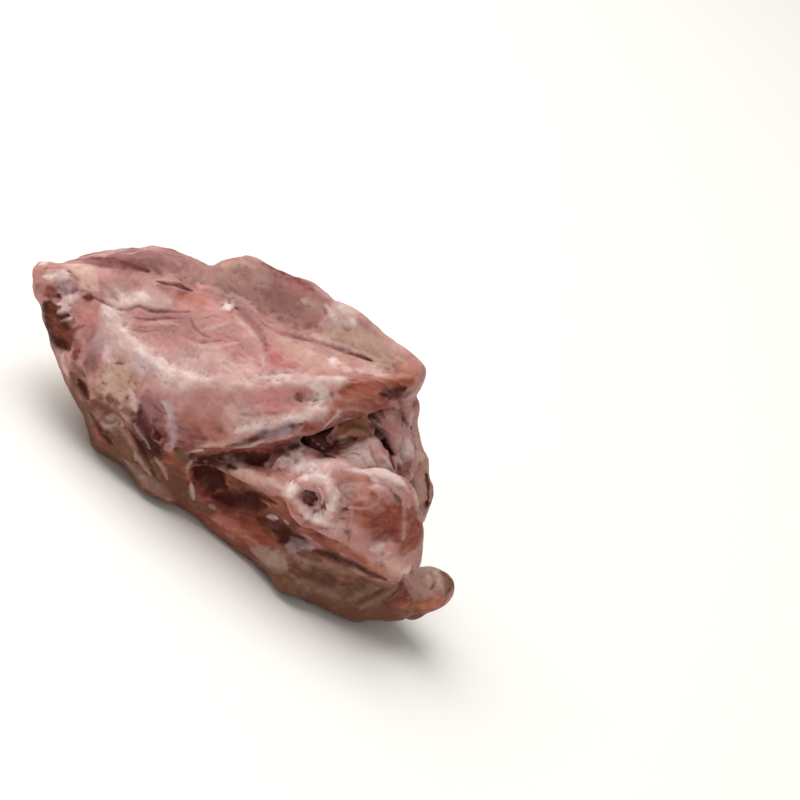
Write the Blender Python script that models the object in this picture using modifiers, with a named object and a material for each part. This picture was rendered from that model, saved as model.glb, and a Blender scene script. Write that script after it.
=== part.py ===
"""Raw chicken carcass, lying on its back: legs, wings, skin and breast meat are off.

The tail points along +X, the edge of the keel along +Z, and the two flanks face -Y and +Y.
The body is built as the real one is: a keel blade, breastbone plates, rib walls, shoulder girdle, pelvis walls,
back and tail, each the hull of a few balls of flesh. They are fused into one skin round the open body cavity,
creases and hollows are pressed into it, and the back is made flat where the carcass lies.
"""

import math

import bmesh
import bpy
import numpy as np
from mathutils import Matrix, Vector, noise

# Driving dimensions, in metres
LENGTH = 0.200  # shoulder joint to the end of the tail
WIDTH = 0.078  # across the ribs and the hips
HEIGHT = 0.098  # table to the edge of the keel

# Every place below is in steps: 200 along the length, 80 across the width and 100 up the height
STEP = Vector((LENGTH / 200, WIDTH / 80, HEIGHT / 100))
BALL_STEP = LENGTH / 200  # one step of a radius, width or depth

VOXEL = 0.0015  # grain of the fused skin
SMOOTH_ROUNDS = 9
TRIANGLES = 9000
LUMP_SIZE = 11.0  # steps between the soft lumps of the flesh
LUMP_DEPTH = 0.9
TABLE = 0.0007  # height at which the back is made flat
TABLE_SLIVER = 0.00005

FLESH = (0.42, 0.17, 0.14, 1.0)
FLESH_ROUGHNESS = 0.38

# Masses on the middle plane: name -> balls (x, y, z, radius)
MIDDLE = {
    "keel": [
        (-43, 0, 77, 4), (-31, 0, 92, 3), (-12, 0, 97, 2.6), (20, 0, 99.5, 2.4), (46, 0, 97, 2.6),
        (-40, 0, 68, 6), (38, 0, 84, 5),
    ],
    "keel_tip": [(46, 0, 96, 3), (45, 5, 87, 4.5), (45, -5, 87, 4.5), (26, 0, 82, 6)],
    "wishbone": [(-88, 12, 48, 5), (-88, -12, 48, 5), (-62, 5, 71, 4.5), (-62, -5, 71, 4.5), (-44, 0, 76, 5)],
    "wishbone_web": [(-74, 10, 50, 5), (-74, -10, 50, 5), (-46, 10, 66, 7), (-46, -10, 66, 7), (-60, 0, 70, 5)],
    "chest_skin": [(-66, 12, 26, 5), (-66, -12, 26, 5), (-70, 11, 50, 4), (-70, -11, 50, 4)],
    "neck_stump": [(-84, 0, 33, 8), (-58, 0, 20, 9)],
    "upper_back": [
        (-66, 12, 26, 7), (-66, -12, 26, 7), (-34, 18, 7.5, 7), (-34, -18, 7.5, 7), (-10, 18, 7, 7), (-10, -18, 7, 7),
    ],
    "lower_back": [
        (-12, 18, 7, 7), (-12, -18, 7, 7), (30, 17, 6, 6), (30, -17, 6, 6),
        (52, 24, 8, 7), (52, -24, 8, 7), (74, 15, 9, 8), (74, -15, 9, 8),
    ],
    "tail_root": [(70, 0, 11, 10), (86, 0, 17, 10)],
    "tail": [(84, 0, 17, 9.5), (92, 0, 24, 9)],
}

# Masses of one flank, made on both: name -> balls, y measured outwards from the middle
FLANK = {
    "breastbone_plate": [
        (-48, 6, 68, 6), (0, 6, 75, 6), (43, 4, 88, 4),
        (-46, 27, 46, 6), (-15, 32, 50, 6), (5, 29, 62, 5), (22, 21, 77, 4), (42, 8, 88, 4),
    ],
    "upper_rib_wall": [
        (-46, 28, 44, 6), (-15, 33, 47, 6), (8, 31, 56, 5), (24, 25, 68, 5),
        (-44, 29, 26, 6), (-15, 33, 27, 6), (0, 32, 36, 5), (14, 30, 50, 5),
    ],
    "lower_rib_wall": [
        (-44, 29, 26, 6), (-15, 32, 27, 6), (-4, 30, 30, 5), (-46, 18, 12, 6), (-15, 22, 8, 6), (2, 22, 8, 6),
    ],
    "breast_fold": [(-8, 34, 35, 4), (10, 33, 49, 4), (24, 29, 62, 4)],
    "breast_fold_rear": [(22, 29, 61, 4), (33, 21, 77, 3.5), (42, 12, 86, 3.5)],
    "coracoid": [(-90, 18, 47, 6.5), (-66, 15, 57, 8)],
    "coracoid_foot": [(-66, 15, 57, 8), (-48, 11, 66, 8)],
    "shoulder_joint": [(-92, 19, 46, 6.5), (-89, 22, 44, 6), (-82, 19, 39, 7)],
    "shoulder_blade": [(-80, 19, 36, 7.5), (-60, 26, 25, 8), (-38, 29, 15, 8)],
    "shoulder_blade_end": [(-38, 29, 15, 8), (-14, 29, 13, 7)],
    "shoulder_side": [(-80, 18, 44, 7), (-52, 14, 64, 7), (-50, 28, 42, 6), (-62, 26, 30, 7)],
    "shoulder_under": [(-80, 12, 33, 8), (-60, 19, 20, 7), (-81, 17, 35, 7.5)],
    "pelvis_fore_wall": [(0, 25, 32, 4), (28, 26, 50, 4), (0, 22, 12, 5), (28, 24, 12, 5)],
    "pelvis_wall": [
        (26, 26, 51, 4), (45, 28, 57, 5), (62, 25, 58, 5), (74, 21, 52, 6),
        (26, 24, 12, 6), (52, 25, 9, 6), (74, 17, 14, 7),
    ],
    "hip_plate": [(26, 27, 51, 5), (46, 29, 56, 5), (40, 30, 48, 6)],
    "hip": [(43, 27, 44, 9), (50, 27, 44, 9)],
    "thigh_meat": [(60, 25, 51, 9), (74, 21, 49, 9), (66, 25, 38, 10), (78, 17, 38, 9), (76, 17, 28, 8)],
    "loin_ridge": [(2, 28, 28, 6), (20, 31, 36, 6)],
    "loin_ridge_rear": [(20, 31, 36, 6), (36, 31, 43, 7)],
    "back_roll": [(-14, 28, 12, 6), (2, 26, 12, 6), (20, 23, 13, 6)],
    "back_roll_middle": [(20, 23, 13, 6), (34, 24, 11, 6), (50, 28, 9, 7.5)],
    "back_roll_rear": [(50, 28, 10, 7.5), (74, 15, 14, 9), (84, 9, 17, 9)],
}

# The belly wall hangs from the end of the keel in an arch, and under the arch lie folds of gut lining
BELLY_WALL = [
    [(42, 6, 86, 3), (26, 24, 60, 4), (34, 24, 56, 4), (48, 11, 78, 3.5), (54, 14, 60, 4)],
    [(48, 10, 77, 3.5), (54, 14, 60, 4), (60, 12, 56, 4), (54, 9, 66, 3.5)],
    [(24, -27, 62, 4), (40, -12, 82, 4), (28, -20, 71, 3), (34, -9, 77, 3), (44, 0, 84, 4)],
    [(34, -9, 77, 3), (44, 0, 84, 4), (42, 2, 71, 3), (49, 9, 78, 3), (47, 11, 65, 3), (52, 9, 71, 3)],
]
VENT_FOLDS = [
    [(40, -18, 54, 6), (49, -17, 60, 6)],
    [(48, -15, 60, 6), (55, -11, 61, 5.5)],
    [(46, -17, 50, 6), (58, -14, 52, 6)],
    [(41, -17, 58, 3.5), (47, -12, 66, 4)],
    [(52, 1, 65, 4.5), (60, 0, 57, 5), (57, 9, 64, 4)],
    [(60, 12, 60, 4), (68, 13, 48, 4.5), (70, 14, 38, 5)],
    [(24, 20, 57, 5), (31, 6, 57, 5.5)],
]
FAT = [
    [(-50, -30, 38, 5), (-52, -29, 30, 6)],
    [(-50, -29, 24, 6), (-44, -30, 18, 6)],
    [(-47, -25, 13, 5), (-41, -26, 6, 5), (-32, -25, 6, 4)],
    [(-22, -28, 8, 5), (-15, -31, 6.5, 5), (-7, -29, 7, 5)],
]

HIP = (44, 36, 44)
RING_RADIUS = 7.5
RING_THICK = 3.2
RING_SIDES = (32, 12)

# Creases (depth below 0) and ridges pressed into the skin: (depth, half width), then the line they follow
NEAR_STROKES = [
    (-3.0, 5.0, [(44, -40, 44), (46, -40, 44)]),
    (-2.6, 4.0, [(-10, -36, 29), (8, -36, 36), (26, -33, 49), (36, -29, 60)]),
    (-4.0, 9.0, [(4, -32, 18), (22, -34, 20), (34, -33, 20)]),
    (-2.0, 5.0, [(4, -32, 24), (16, -34, 27), (30, -37, 33)]),
    (-1.6, 4.0, [(-62, -16, 58), (-46, -9, 69), (-24, -9, 76), (-4, -10, 76), (16, -10, 80), (36, -9, 87)]),
    (-1.6, 3.5, [(74, -29, 56), (73, -31, 46), (76, -27, 36)]),
    (1.2, 3.0, [(-62, -26, 51), (-45, -32, 50), (-22, -37, 52), (2, -33, 67), (24, -24, 83)]),
    (-1.4, 4.5, [(-36, -34, 38), (-28, -36, 30), (-24, -37, 24)]),
    (-1.6, 4.0, [(-72, -22, 44), (-64, -26, 34), (-56, -28, 22)]),
    (-2.6, 4.0, [(84, -11, 30), (78, -20, 26), (70, -27, 20), (58, -32, 17)]),
]

# The far flank has sagged: nearer the middle, lower, its shoulder drawn back and its hip drawn forward
SAG_WIDTH = 0.88
SAG_HEIGHT = 0.92
SHOULDER_X = -60
SHOULDER_BACK = 4
HIP_X = 46
HIP_FORWARD = 0.6
HIP_INWARD = 0.8


def at(x, y, z):
    """A place given in steps, in metres."""
    return Vector((x * STEP.x, y * STEP.y, z * STEP.z))


def sagged(x, y, z):
    """The place on the far flank that answers a place (x, -y, z) on the near one."""
    y *= SAG_WIDTH
    z *= SAG_HEIGHT
    if x < SHOULDER_X:
        x += SHOULDER_BACK
    if x > HIP_X:
        y *= 1 - (1 - HIP_INWARD) * (x - HIP_X) / (100 - HIP_X)
        x = HIP_X + (x - HIP_X) * HIP_FORWARD
    return x, y, z


def on_side(balls, side):
    """The balls of a flank mass on the near side (-1) or the far side (1)."""
    if side < 0:
        return [(x, -y, z, radius) for x, y, z, radius in balls]
    return [(*sagged(x, y, z), radius) for x, y, z, radius in balls]


def hull(balls):
    """The closed mesh round a few balls, as a bmesh."""
    mass = bmesh.new()
    for x, y, z, radius in balls:
        ball = bmesh.ops.create_icosphere(mass, subdivisions=2, radius=radius * BALL_STEP)
        bmesh.ops.translate(mass, vec=at(x, y, z), verts=ball["verts"])
    skin = bmesh.ops.convex_hull(mass, input=mass.verts)
    inner = [v for v in skin["geom_interior"] + skin["geom_unused"] if isinstance(v, bmesh.types.BMVert)]
    bmesh.ops.delete(mass, geom=inner, context="VERTS")
    outer = {f for f in skin["geom"] if isinstance(f, bmesh.types.BMFace)}
    bmesh.ops.delete(mass, geom=[f for f in mass.faces if f not in outer], context="FACES")
    bmesh.ops.recalc_face_normals(mass, faces=mass.faces)
    return mass


def hip_ring(side):
    """The rim of gristle round the hip socket, a torus facing sideways."""
    (x, y, z, _), = on_side([(*HIP, 0)], side)
    bpy.ops.mesh.primitive_torus_add(
        major_radius=RING_RADIUS * BALL_STEP, minor_radius=RING_THICK * BALL_STEP,
        major_segments=RING_SIDES[0], minor_segments=RING_SIDES[1],
        location=at(x, y, z), rotation=(math.radians(90), 0, 0),
    )
    torus = bpy.context.object
    ring = bmesh.new()
    ring.from_mesh(torus.data)
    ring.transform(torus.matrix_world)
    bpy.data.objects.remove(torus)
    return ring


def add(joined, mass):
    """Puts one mass into the joined mesh."""
    piece = bpy.data.meshes.new("mass")
    mass.to_mesh(piece)
    mass.free()
    joined.from_mesh(piece)
    bpy.data.meshes.remove(piece)


def collected():
    """Every mass in one mesh, not yet fused."""
    joined = bmesh.new()
    for balls in [*MIDDLE.values(), *BELLY_WALL, *VENT_FOLDS, *FAT]:
        add(joined, hull(balls))
    for side in (-1, 1):
        for balls in FLANK.values():
            add(joined, hull(on_side(balls, side)))
        add(joined, hip_ring(side))
    masses = bpy.data.meshes.new("carcass")
    joined.to_mesh(masses)
    joined.free()
    return masses


def apply_modifiers(obj):
    """Gives the object its mesh as its modifiers make it, and clears them."""
    bpy.context.view_layer.update()
    graph = bpy.context.evaluated_depsgraph_get()
    mesh = bpy.data.meshes.new_from_object(obj.evaluated_get(graph))
    obj.modifiers.clear()
    obj.data = mesh


def fuse(obj):
    """Fuses the overlapping masses into one soft skin."""
    remesh = obj.modifiers.new("fuse", "REMESH")
    remesh.mode = "VOXEL"
    remesh.voxel_size = VOXEL
    soften = obj.modifiers.new("soften", "SMOOTH")
    soften.factor = 0.5
    soften.iterations = SMOOTH_ROUNDS
    apply_modifiers(obj)


def keep_largest_shell(mesh):
    """Drops small scraps, and the walls of hollows that fusing has sealed."""
    work = bmesh.new()
    work.from_mesh(mesh)
    left = set(work.verts)
    shells = []
    while left:
        front = [left.pop()]
        shell = set(front)
        while front:
            vert = front.pop()
            for edge in vert.link_edges:
                other = edge.other_vert(vert)
                if other in left:
                    left.discard(other)
                    shell.add(other)
                    front.append(other)
        shells.append(shell)
    shells.sort(key=len)
    for shell in shells[:-1]:
        bmesh.ops.delete(work, geom=list(shell), context="VERTS")
    work.to_mesh(mesh)
    work.free()


def distance_to_line(places, line):
    """How far each place is from a line through several points."""
    nearest = np.full(len(places), np.inf)
    for start, end in zip(line, line[1:]):
        along = end - start
        share = np.clip((places - start) @ along / (along @ along), 0, 1)
        nearest = np.minimum(nearest, np.linalg.norm(places - start - share[:, None] * along, axis=1))
    return nearest


def press(mesh):
    """Presses the creases and ridges into the skin and makes it as uneven as flesh."""
    count = len(mesh.vertices)
    places = np.empty(count * 3)
    normals = np.empty(count * 3)
    mesh.vertices.foreach_get("co", places)
    mesh.vertex_normals.foreach_get("vector", normals)
    places = places.reshape(-1, 3)
    normals = normals.reshape(-1, 3)
    shift = np.array([noise.noise(Vector(place) / (LUMP_SIZE * BALL_STEP)) for place in places]) * LUMP_DEPTH
    for depth, width, line in NEAR_STROKES:
        for side in (-1, 1):
            points = [(x, y, z) if side < 0 else sagged(x, -y, z) for x, y, z in line]
            away = distance_to_line(places, np.array([at(*point) for point in points]))
            shift += depth * np.exp(-((away / (width * BALL_STEP)) ** 2))
    places += normals * (shift * BALL_STEP)[:, None]
    mesh.vertices.foreach_set("co", places.ravel())
    mesh.update()


def flatten(mesh):
    """Makes the back flat where the carcass lies."""
    for vert in mesh.vertices:
        if vert.co.z < TABLE + TABLE_SLIVER:
            vert.co.z = TABLE


def stand(mesh):
    """Puts the origin under the middle of the carcass, on the table."""
    places = np.array([vert.co for vert in mesh.vertices])
    low, high = places.min(axis=0), places.max(axis=0)
    mesh.transform(Matrix.Translation((-(low[0] + high[0]) / 2, -(low[1] + high[1]) / 2, -low[2])))


def flesh():
    """Raw pinkish red meat with a damp skin."""
    material = bpy.data.materials.new("raw_flesh")
    material.use_nodes = True
    shader = material.node_tree.nodes["Principled BSDF"]
    shader.inputs["Base Color"].default_value = FLESH
    shader.inputs["Roughness"].default_value = FLESH_ROUGHNESS
    shader.inputs["Metallic"].default_value = 0.0
    return material


def carcass():
    """The whole carcass, one solid."""
    obj = bpy.data.objects.new("carcass", collected())
    home = bpy.data.collections.new("chicken_carcass")
    bpy.context.scene.collection.children.link(home)
    home.objects.link(obj)
    fuse(obj)
    keep_largest_shell(obj.data)
    press(obj.data)
    flatten(obj.data)
    thin = obj.modifiers.new("thin", "DECIMATE")
    thin.ratio = TRIANGLES / (2 * len(obj.data.polygons))
    thin.use_collapse_triangulate = True
    apply_modifiers(obj)
    flatten(obj.data)
    stand(obj.data)
    obj.data.shade_smooth()
    obj.data.materials.append(flesh())
    return obj


for old in list(bpy.data.objects):
    bpy.data.objects.remove(old)
carcass()
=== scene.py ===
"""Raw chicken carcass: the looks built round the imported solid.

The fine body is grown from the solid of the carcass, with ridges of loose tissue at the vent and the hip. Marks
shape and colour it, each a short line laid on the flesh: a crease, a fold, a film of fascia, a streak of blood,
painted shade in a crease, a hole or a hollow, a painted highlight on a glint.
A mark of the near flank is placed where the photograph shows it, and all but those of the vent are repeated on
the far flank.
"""

import math
from itertools import chain

import bmesh
import bpy
import numpy as np
from bpy.props import FloatProperty, FloatVectorProperty, IntProperty, PointerProperty
from mathutils import Matrix, Vector, noise
from mathutils.bvhtree import BVHTree


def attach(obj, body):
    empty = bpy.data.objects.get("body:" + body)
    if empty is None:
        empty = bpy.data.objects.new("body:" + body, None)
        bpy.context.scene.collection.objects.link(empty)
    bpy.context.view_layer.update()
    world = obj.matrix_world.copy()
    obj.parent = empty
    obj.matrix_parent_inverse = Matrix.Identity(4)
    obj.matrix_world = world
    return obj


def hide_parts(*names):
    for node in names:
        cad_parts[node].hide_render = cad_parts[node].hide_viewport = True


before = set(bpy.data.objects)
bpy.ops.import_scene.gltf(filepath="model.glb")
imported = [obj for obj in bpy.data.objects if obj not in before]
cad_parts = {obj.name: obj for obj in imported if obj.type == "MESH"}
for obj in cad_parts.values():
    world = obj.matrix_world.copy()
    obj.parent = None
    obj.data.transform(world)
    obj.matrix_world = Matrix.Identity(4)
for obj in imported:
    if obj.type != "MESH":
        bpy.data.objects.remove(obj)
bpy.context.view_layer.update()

bl_info = {
    "name": "Raw chicken carcass",
    "version": (1, 0, 0),
    "blender": (4, 5, 0),
    "location": "3D View > Sidebar > Carcass",
    "description": "Builds a raw chicken carcass with its flesh, films, gristle, fat and skin",
    "category": "Object",
}

NODE = "carcass"
BODY = "root"
MM = 0.001

# The picture: a pixel covers this much of the upright plane through the foot point, which lies in the carcass's
# middle
PICTURE_SIDE = 800
PIXEL_MM = 0.38
FOOT_PIXEL = (244, 435)
FOOT_MM = (-0.93, 1.83, 29.3)
CAMERA_TURN = math.radians(12)  # from -Y towards +X
CAMERA_RISE = math.radians(25)
CAMERA_ROLL = math.radians(30.4)
CAMERA_DISTANCE = 0.95
MIDDLE_Y = FOOT_MM[1] * MM  # the plane between the near and the far side

# The stage
FLOOR_SIDE = 40.0
FLOOR_ROUGHNESS = 0.8
FLOOR_DROP = 0.2 * MM  # below the carcass's flat back
FLOOR_TONES = (0.89, 0.875, 0.83), (0.91, 0.895, 0.85)
SKY_COLOUR = (1.0, 0.985, 0.96, 1.0)
SKY_STRENGTH = 0.36
LAMP_DISTANCE = 2.4
LAMPS = [  # name, direction from the carcass, side and power
    ("key", (-0.45, 0.05, 0.85), 2.6, 74.0),
    ("fill", (0.45, -0.9, 0.35), 2.1, 11.0),
]


def camera_axes():
    """The camera's right, up and backward directions."""
    back = Vector((
        math.sin(CAMERA_TURN) * math.cos(CAMERA_RISE),
        -math.cos(CAMERA_TURN) * math.cos(CAMERA_RISE),
        math.sin(CAMERA_RISE),
    ))
    level = Vector((math.cos(CAMERA_TURN), math.sin(CAMERA_TURN), 0))
    rise = back.cross(level)
    right = level * math.cos(CAMERA_ROLL) + rise * math.sin(CAMERA_ROLL)
    up = rise * math.cos(CAMERA_ROLL) - level * math.sin(CAMERA_ROLL)
    return right, up, back


RIGHT, UP, BACK = camera_axes()


def pixel_place(pixel):
    """Where a pixel of the picture lies on the plane through the foot point."""
    across = (pixel[0] - FOOT_PIXEL[0]) * PIXEL_MM
    down = (pixel[1] - FOOT_PIXEL[1]) * PIXEL_MM
    return (Vector(FOOT_MM) + RIGHT * across - UP * down) * MM


AIM = pixel_place((PICTURE_SIDE / 2, PICTURE_SIDE / 2))
EYE = AIM + BACK * CAMERA_DISTANCE


# Sizes and colours

def colour(name, description, rgb):
    return FloatVectorProperty(
        name=name, description=description, default=rgb, size=3, min=0, max=1, subtype="COLOR",
    )


def length(name, description, millimetres):
    return FloatProperty(
        name=name, description=description, default=millimetres * MM, unit="LENGTH", precision=5,
    )


class CarcassSizes(bpy.types.PropertyGroup):
    grain: length("Grain", "Edge length of the fine body", 0.6)
    lump_rise: length("Lumps", "Height of the soft lumps of the flesh", 0.7)
    lump_size: length("Lump size", "Distance between soft lumps", 8)
    fold_rise: length("Folds", "Height of the small folds of the films", 0.4)
    fold_size: length("Fold size", "Distance between small folds", 3.2)
    pore_rise: length("Grain of the flesh", "Height of the finest unevenness", 0.07)
    pore_size: length("Grain size", "Distance between the finest bumps", 1.1)
    block_faces: IntProperty(name="Block", description="Most faces of one piece of the fine body", default=95000)


class TissueColours(bpy.types.PropertyGroup):
    flesh: colour("Flesh", "Pink breast meat left on the bone", (0.46, 0.225, 0.2))
    # Film: real fascia, and also laid as painted highlight on ridges and glints
    film: colour("Film", "White fascia drawn over the meat", (0.66, 0.5, 0.465))
    # Gristle: real cartilage and ligament, and also laid as painted highlight on glints
    gristle: colour("Gristle", "White cartilage and ligament", (0.78, 0.65, 0.61))
    keel_film: colour("Keel film", "Brownish pink film on the keel", (0.36, 0.19, 0.165))
    tan: colour("Tan", "Dried edge of the keel", (0.58, 0.37, 0.3))
    rose: colour("Rose", "Fresh pink cut", (0.5, 0.17, 0.16))
    # Deep red: real blood under the film, and also painted shade in creases and holes
    deep_red: colour("Deep red", "Blood under the film", (0.17, 0.035, 0.03))
    mauve: colour("Mauve", "Bruised meat", (0.27, 0.115, 0.115))
    # Purple: real meat between the ribs, and also painted shade under the breast fold and in the hip socket's
    # hole
    purple: colour("Purple", "Meat between the ribs", (0.09, 0.022, 0.022))
    # Blood: real clotted blood, and also painted shade in the vent's holes and the creases
    blood: colour("Blood", "Clotted blood", (0.035, 0.004, 0.003))
    muscle: colour("Muscle", "Dark meat of the hip", (0.265, 0.068, 0.04))
    # Dark meat: real dark meat, and also painted shade laid in holes, hollows, creases and under folds
    dark_meat: colour("Dark meat", "Meat in the hollows of the back", (0.045, 0.008, 0.005))
    orange: colour("Orange", "Thin meat with light through it", (0.42, 0.15, 0.085))
    fat: colour("Fat", "Yellowish fat", (0.5, 0.315, 0.24))
    # Skin: the real skin of the back, its dark brown partly painted shade of the underside
    skin: colour("Skin", "Skin of the back", (0.145, 0.061, 0.035))
    # Pale skin: real thin skin over the tail, and also painted sheen in streaks along the wet skin
    pale_skin: colour("Pale skin", "Skin drawn thin over the tail", (0.38, 0.25, 0.205))
    # Lilac: partly a real bluish film, partly painted sheen on wet folds
    lilac: colour("Lilac", "Bluish film on the fold of the breast", (0.45, 0.33, 0.35))
    # Liver: lighter than the liver itself, partly painted light reaching into the shaded vent
    liver: colour("Liver", "Scraps of liver left in the vent", (0.25, 0.1, 0.05))
    olive: colour("Olive", "Gall-stained lining of the vent", (0.15, 0.085, 0.04))


TISSUES = list(TissueColours.__annotations__)

# Marks, where a later one covers an earlier one: tissue, strength, half width in mm, rise in mm, and then the
# x and y of each pixel of the picture that the mark's line passes through
KEEL_MARKS = [
    ("keel_film", 1, 7.5, 0, 96, 262, 150, 268, 200, 280, 250, 296, 300, 316, 360, 342, 408, 366),
    ("keel_film", 1, 7.0, 0, 215, 272, 250, 272, 290, 292, 330, 318),
    ("mauve", 0.75, 3.4, 0, 104, 260, 126, 256, 152, 254, 176, 258, 196, 266),
    ("deep_red", 0.8, 1.2, -0.2, 74, 260, 92, 259, 104, 261, 112, 264),
    ("deep_red", 0.6, 2.2, 0, 118, 264, 134, 268, 148, 271),
    ("tan", 0.4, 3.6, 0, 186, 274, 212, 276, 244, 282),
    ("tan", 0.4, 1.8, 0.2, 222, 267, 240, 265, 256, 268),
    ("film", 0.3, 2.6, 0, 254, 272, 262, 282, 270, 290),
    ("deep_red", 0.75, 1.8, -0.2, 262, 263, 282, 271, 298, 280, 314, 291),
    ("rose", 0.4, 2.4, 0, 284, 282, 302, 291, 316, 299),
    ("mauve", 0.55, 3.2, 0, 262, 290, 284, 300, 302, 310),
    ("film", 0.55, 1.6, 0.25, 302, 300, 314, 304, 322, 313),
    ("film", 0.85, 4.2, 0.2, 328, 306, 342, 314, 354, 324),
    ("gristle", 0.6, 1.3, 0.2, 344, 321, 356, 325),
    ("tan", 0.95, 4.4, 0, 314, 335, 336, 339, 360, 347, 386, 356, 406, 365),
    ("orange", 0.55, 2.6, 0, 394, 364, 408, 370, 418, 375),
    ("film", 0.45, 1.2, 0.3, 198, 287, 222, 292, 244, 300, 258, 314),
    ("mauve", 0.75, 1.1, -0.3, 260, 320, 278, 333, 300, 338, 326, 345, 346, 352, 362, 357, 373, 361),
    ("deep_red", 0.6, 0.8, -0.15, 348, 353, 362, 357, 373, 361),
    ("mauve", 0.9, 1.8, 0, 94, 264, 108, 266, 120, 268),
    ("mauve", 0.8, 2.6, 0, 108, 258, 124, 252, 138, 251),
    ("mauve", 0.6, 2.4, 0, 118, 272, 132, 276),
    ("deep_red", 0.65, 1.5, -0.2, 120, 262, 134, 267, 148, 271),
    ("flesh", 0.6, 3.0, 0, 304, 314, 318, 320, 330, 328),
    ("deep_red", 0.7, 1.7, 0, 106, 259, 116, 261, 126, 264),
    ("mauve", 0.5, 1.7, 0, 80, 260, 92, 262, 102, 263),
    ("mauve", 0.4, 3.4, 0, 128, 258, 150, 261, 172, 266),
    ("mauve", 0.35, 2.6, 0, 194, 268, 208, 268, 222, 270),
    ("flesh", 0.5, 2.4, 0, 298, 320, 308, 325, 318, 330),
]
BREAST_MARKS = [
    ("flesh", 1, 14.0, 0, 140, 325, 190, 332, 240, 346, 270, 356),
    ("film", 0.4, 6.5, 0, 176, 354, 215, 364, 256, 373),
    # Partly a real tendon ridge, partly a painted highlight: the whitish veil of light along it
    ("film", 0.4, 3.8, 0, 108, 301, 134, 298, 168, 302),
    ("gristle", 0.5, 1.9, 0.25, 118, 297, 134, 297, 150, 299),
    ("film", 0.6, 1.8, 0.15, 150, 302, 162, 301, 172, 304),
    ("orange", 0.55, 3.2, 0.2, 174, 294, 192, 298, 208, 304),
    ("rose", 0.4, 2.0, 0, 182, 292, 198, 299, 212, 306),
    ("deep_red", 0.9, 0.9, -0.45, 156, 281, 168, 284, 180, 286, 193, 291),
    ("mauve", 0.4, 4.4, 0, 154, 322, 174, 328, 194, 336),
    ("rose", 0.3, 3.2, 0.15, 124, 312, 138, 320, 152, 326),
    ("mauve", 0.75, 0.7, -0.3, 90, 295, 104, 303, 118, 309, 128, 310, 138, 306, 152, 311, 172, 312, 190, 312),
    ("film", 0.4, 0.9, 0.25, 104, 298, 120, 304, 137, 301, 152, 306, 172, 308),
    ("mauve", 0.5, 0.6, -0.2, 132, 317, 150, 320, 166, 318, 186, 319),
    ("film", 0.35, 0.8, 0.2, 126, 321, 146, 325, 166, 323, 180, 325),
    ("mauve", 0.45, 0.6, -0.18, 126, 328, 142, 332, 158, 331),
    ("mauve", 0.5, 0.6, -0.2, 190, 317, 194, 327, 201, 334, 211, 338),
    ("mauve", 0.4, 0.6, -0.18, 186, 337, 200, 342, 222, 340),
    ("film", 0.35, 0.9, 0.25, 190, 345, 214, 347, 240, 343),
    ("film", 0.3, 0.8, 0.2, 200, 331, 216, 328, 230, 322),
    ("mauve", 0.3, 0.6, -0.15, 204, 318, 216, 316, 226, 320),
    ("rose", 0.3, 2.6, 0, 216, 334, 232, 350, 248, 362),
    ("mauve", 0.35, 0.7, -0.15, 226, 336, 238, 341, 244, 350),
    # Painted highlight: a white glint on a small raised nub
    ("film", 0.4, 2.8, 0, 221, 303, 232, 309),
    ("gristle", 0.95, 1.7, 0.7, 226, 305, 229, 311),
    ("mauve", 0.7, 1.9, -0.4, 236, 308, 248, 317, 258, 330, 266, 344),
    ("film", 0.35, 1.2, 0.15, 234, 316, 247, 328, 256, 342, 262, 356, 264, 368),
    ("rose", 1, 1.2, -0.3, 265, 345, 270, 352),
    ("rose", 1, 2.3, -0.3, 270, 356, 282, 360),
    ("rose", 0.8, 1.3, -0.1, 272, 364, 288, 365, 302, 366),
    ("tan", 0.5, 4.6, 0, 282, 340, 302, 350, 326, 360, 350, 369),
    ("film", 0.15, 1.8, 0.1, 316, 351, 338, 354),
    ("gristle", 0.75, 1.8, 0.3, 329, 360, 339, 363),
    ("film", 0.5, 1.5, 0.2, 344, 367, 352, 373),
    ("film", 0.5, 2.2, 0, 356, 369, 374, 375, 392, 378),
    ("mauve", 0.7, 1.9, 0, 158, 285, 174, 288, 192, 292),
    ("deep_red", 0.8, 0.8, -0.3, 162, 283, 176, 286, 191, 291),
    ("rose", 0.4, 1.4, 0, 192, 287, 204, 288, 214, 291),
    ("film", 0.4, 2.2, 0, 320, 324, 330, 327, 342, 331),
    ("mauve", 0.35, 2.0, 0, 312, 350, 323, 352, 334, 355),
]
BAND_MARKS = [
    ("film", 0.8, 4.6, 0, 108, 312, 116, 330, 130, 348, 148, 364, 172, 376, 200, 384, 230, 389),
    ("lilac", 0.6, 2.8, 0, 136, 352, 146, 362, 154, 374),
    ("gristle", 0.8, 1.7, 0.35, 122, 330, 137, 346, 152, 359, 168, 369, 190, 377, 216, 382),
    ("film", 0.8, 3.4, 0.15, 180, 384, 210, 389, 240, 389, 264, 388),
    ("film", 0.75, 2.4, 0.25, 230, 385, 262, 381, 300, 379, 332, 380, 350, 383),
    ("gristle", 0.3, 1.0, 0.25, 258, 379, 290, 377, 326, 378, 352, 379),
    ("rose", 0.4, 1.2, 0, 262, 393, 290, 392, 318, 390),
    ("film", 0.6, 1.5, 0.2, 206, 394, 222, 405, 236, 420),
    ("flesh", 0.4, 2.4, 0, 124, 334, 131, 340, 138, 347),
]
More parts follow.
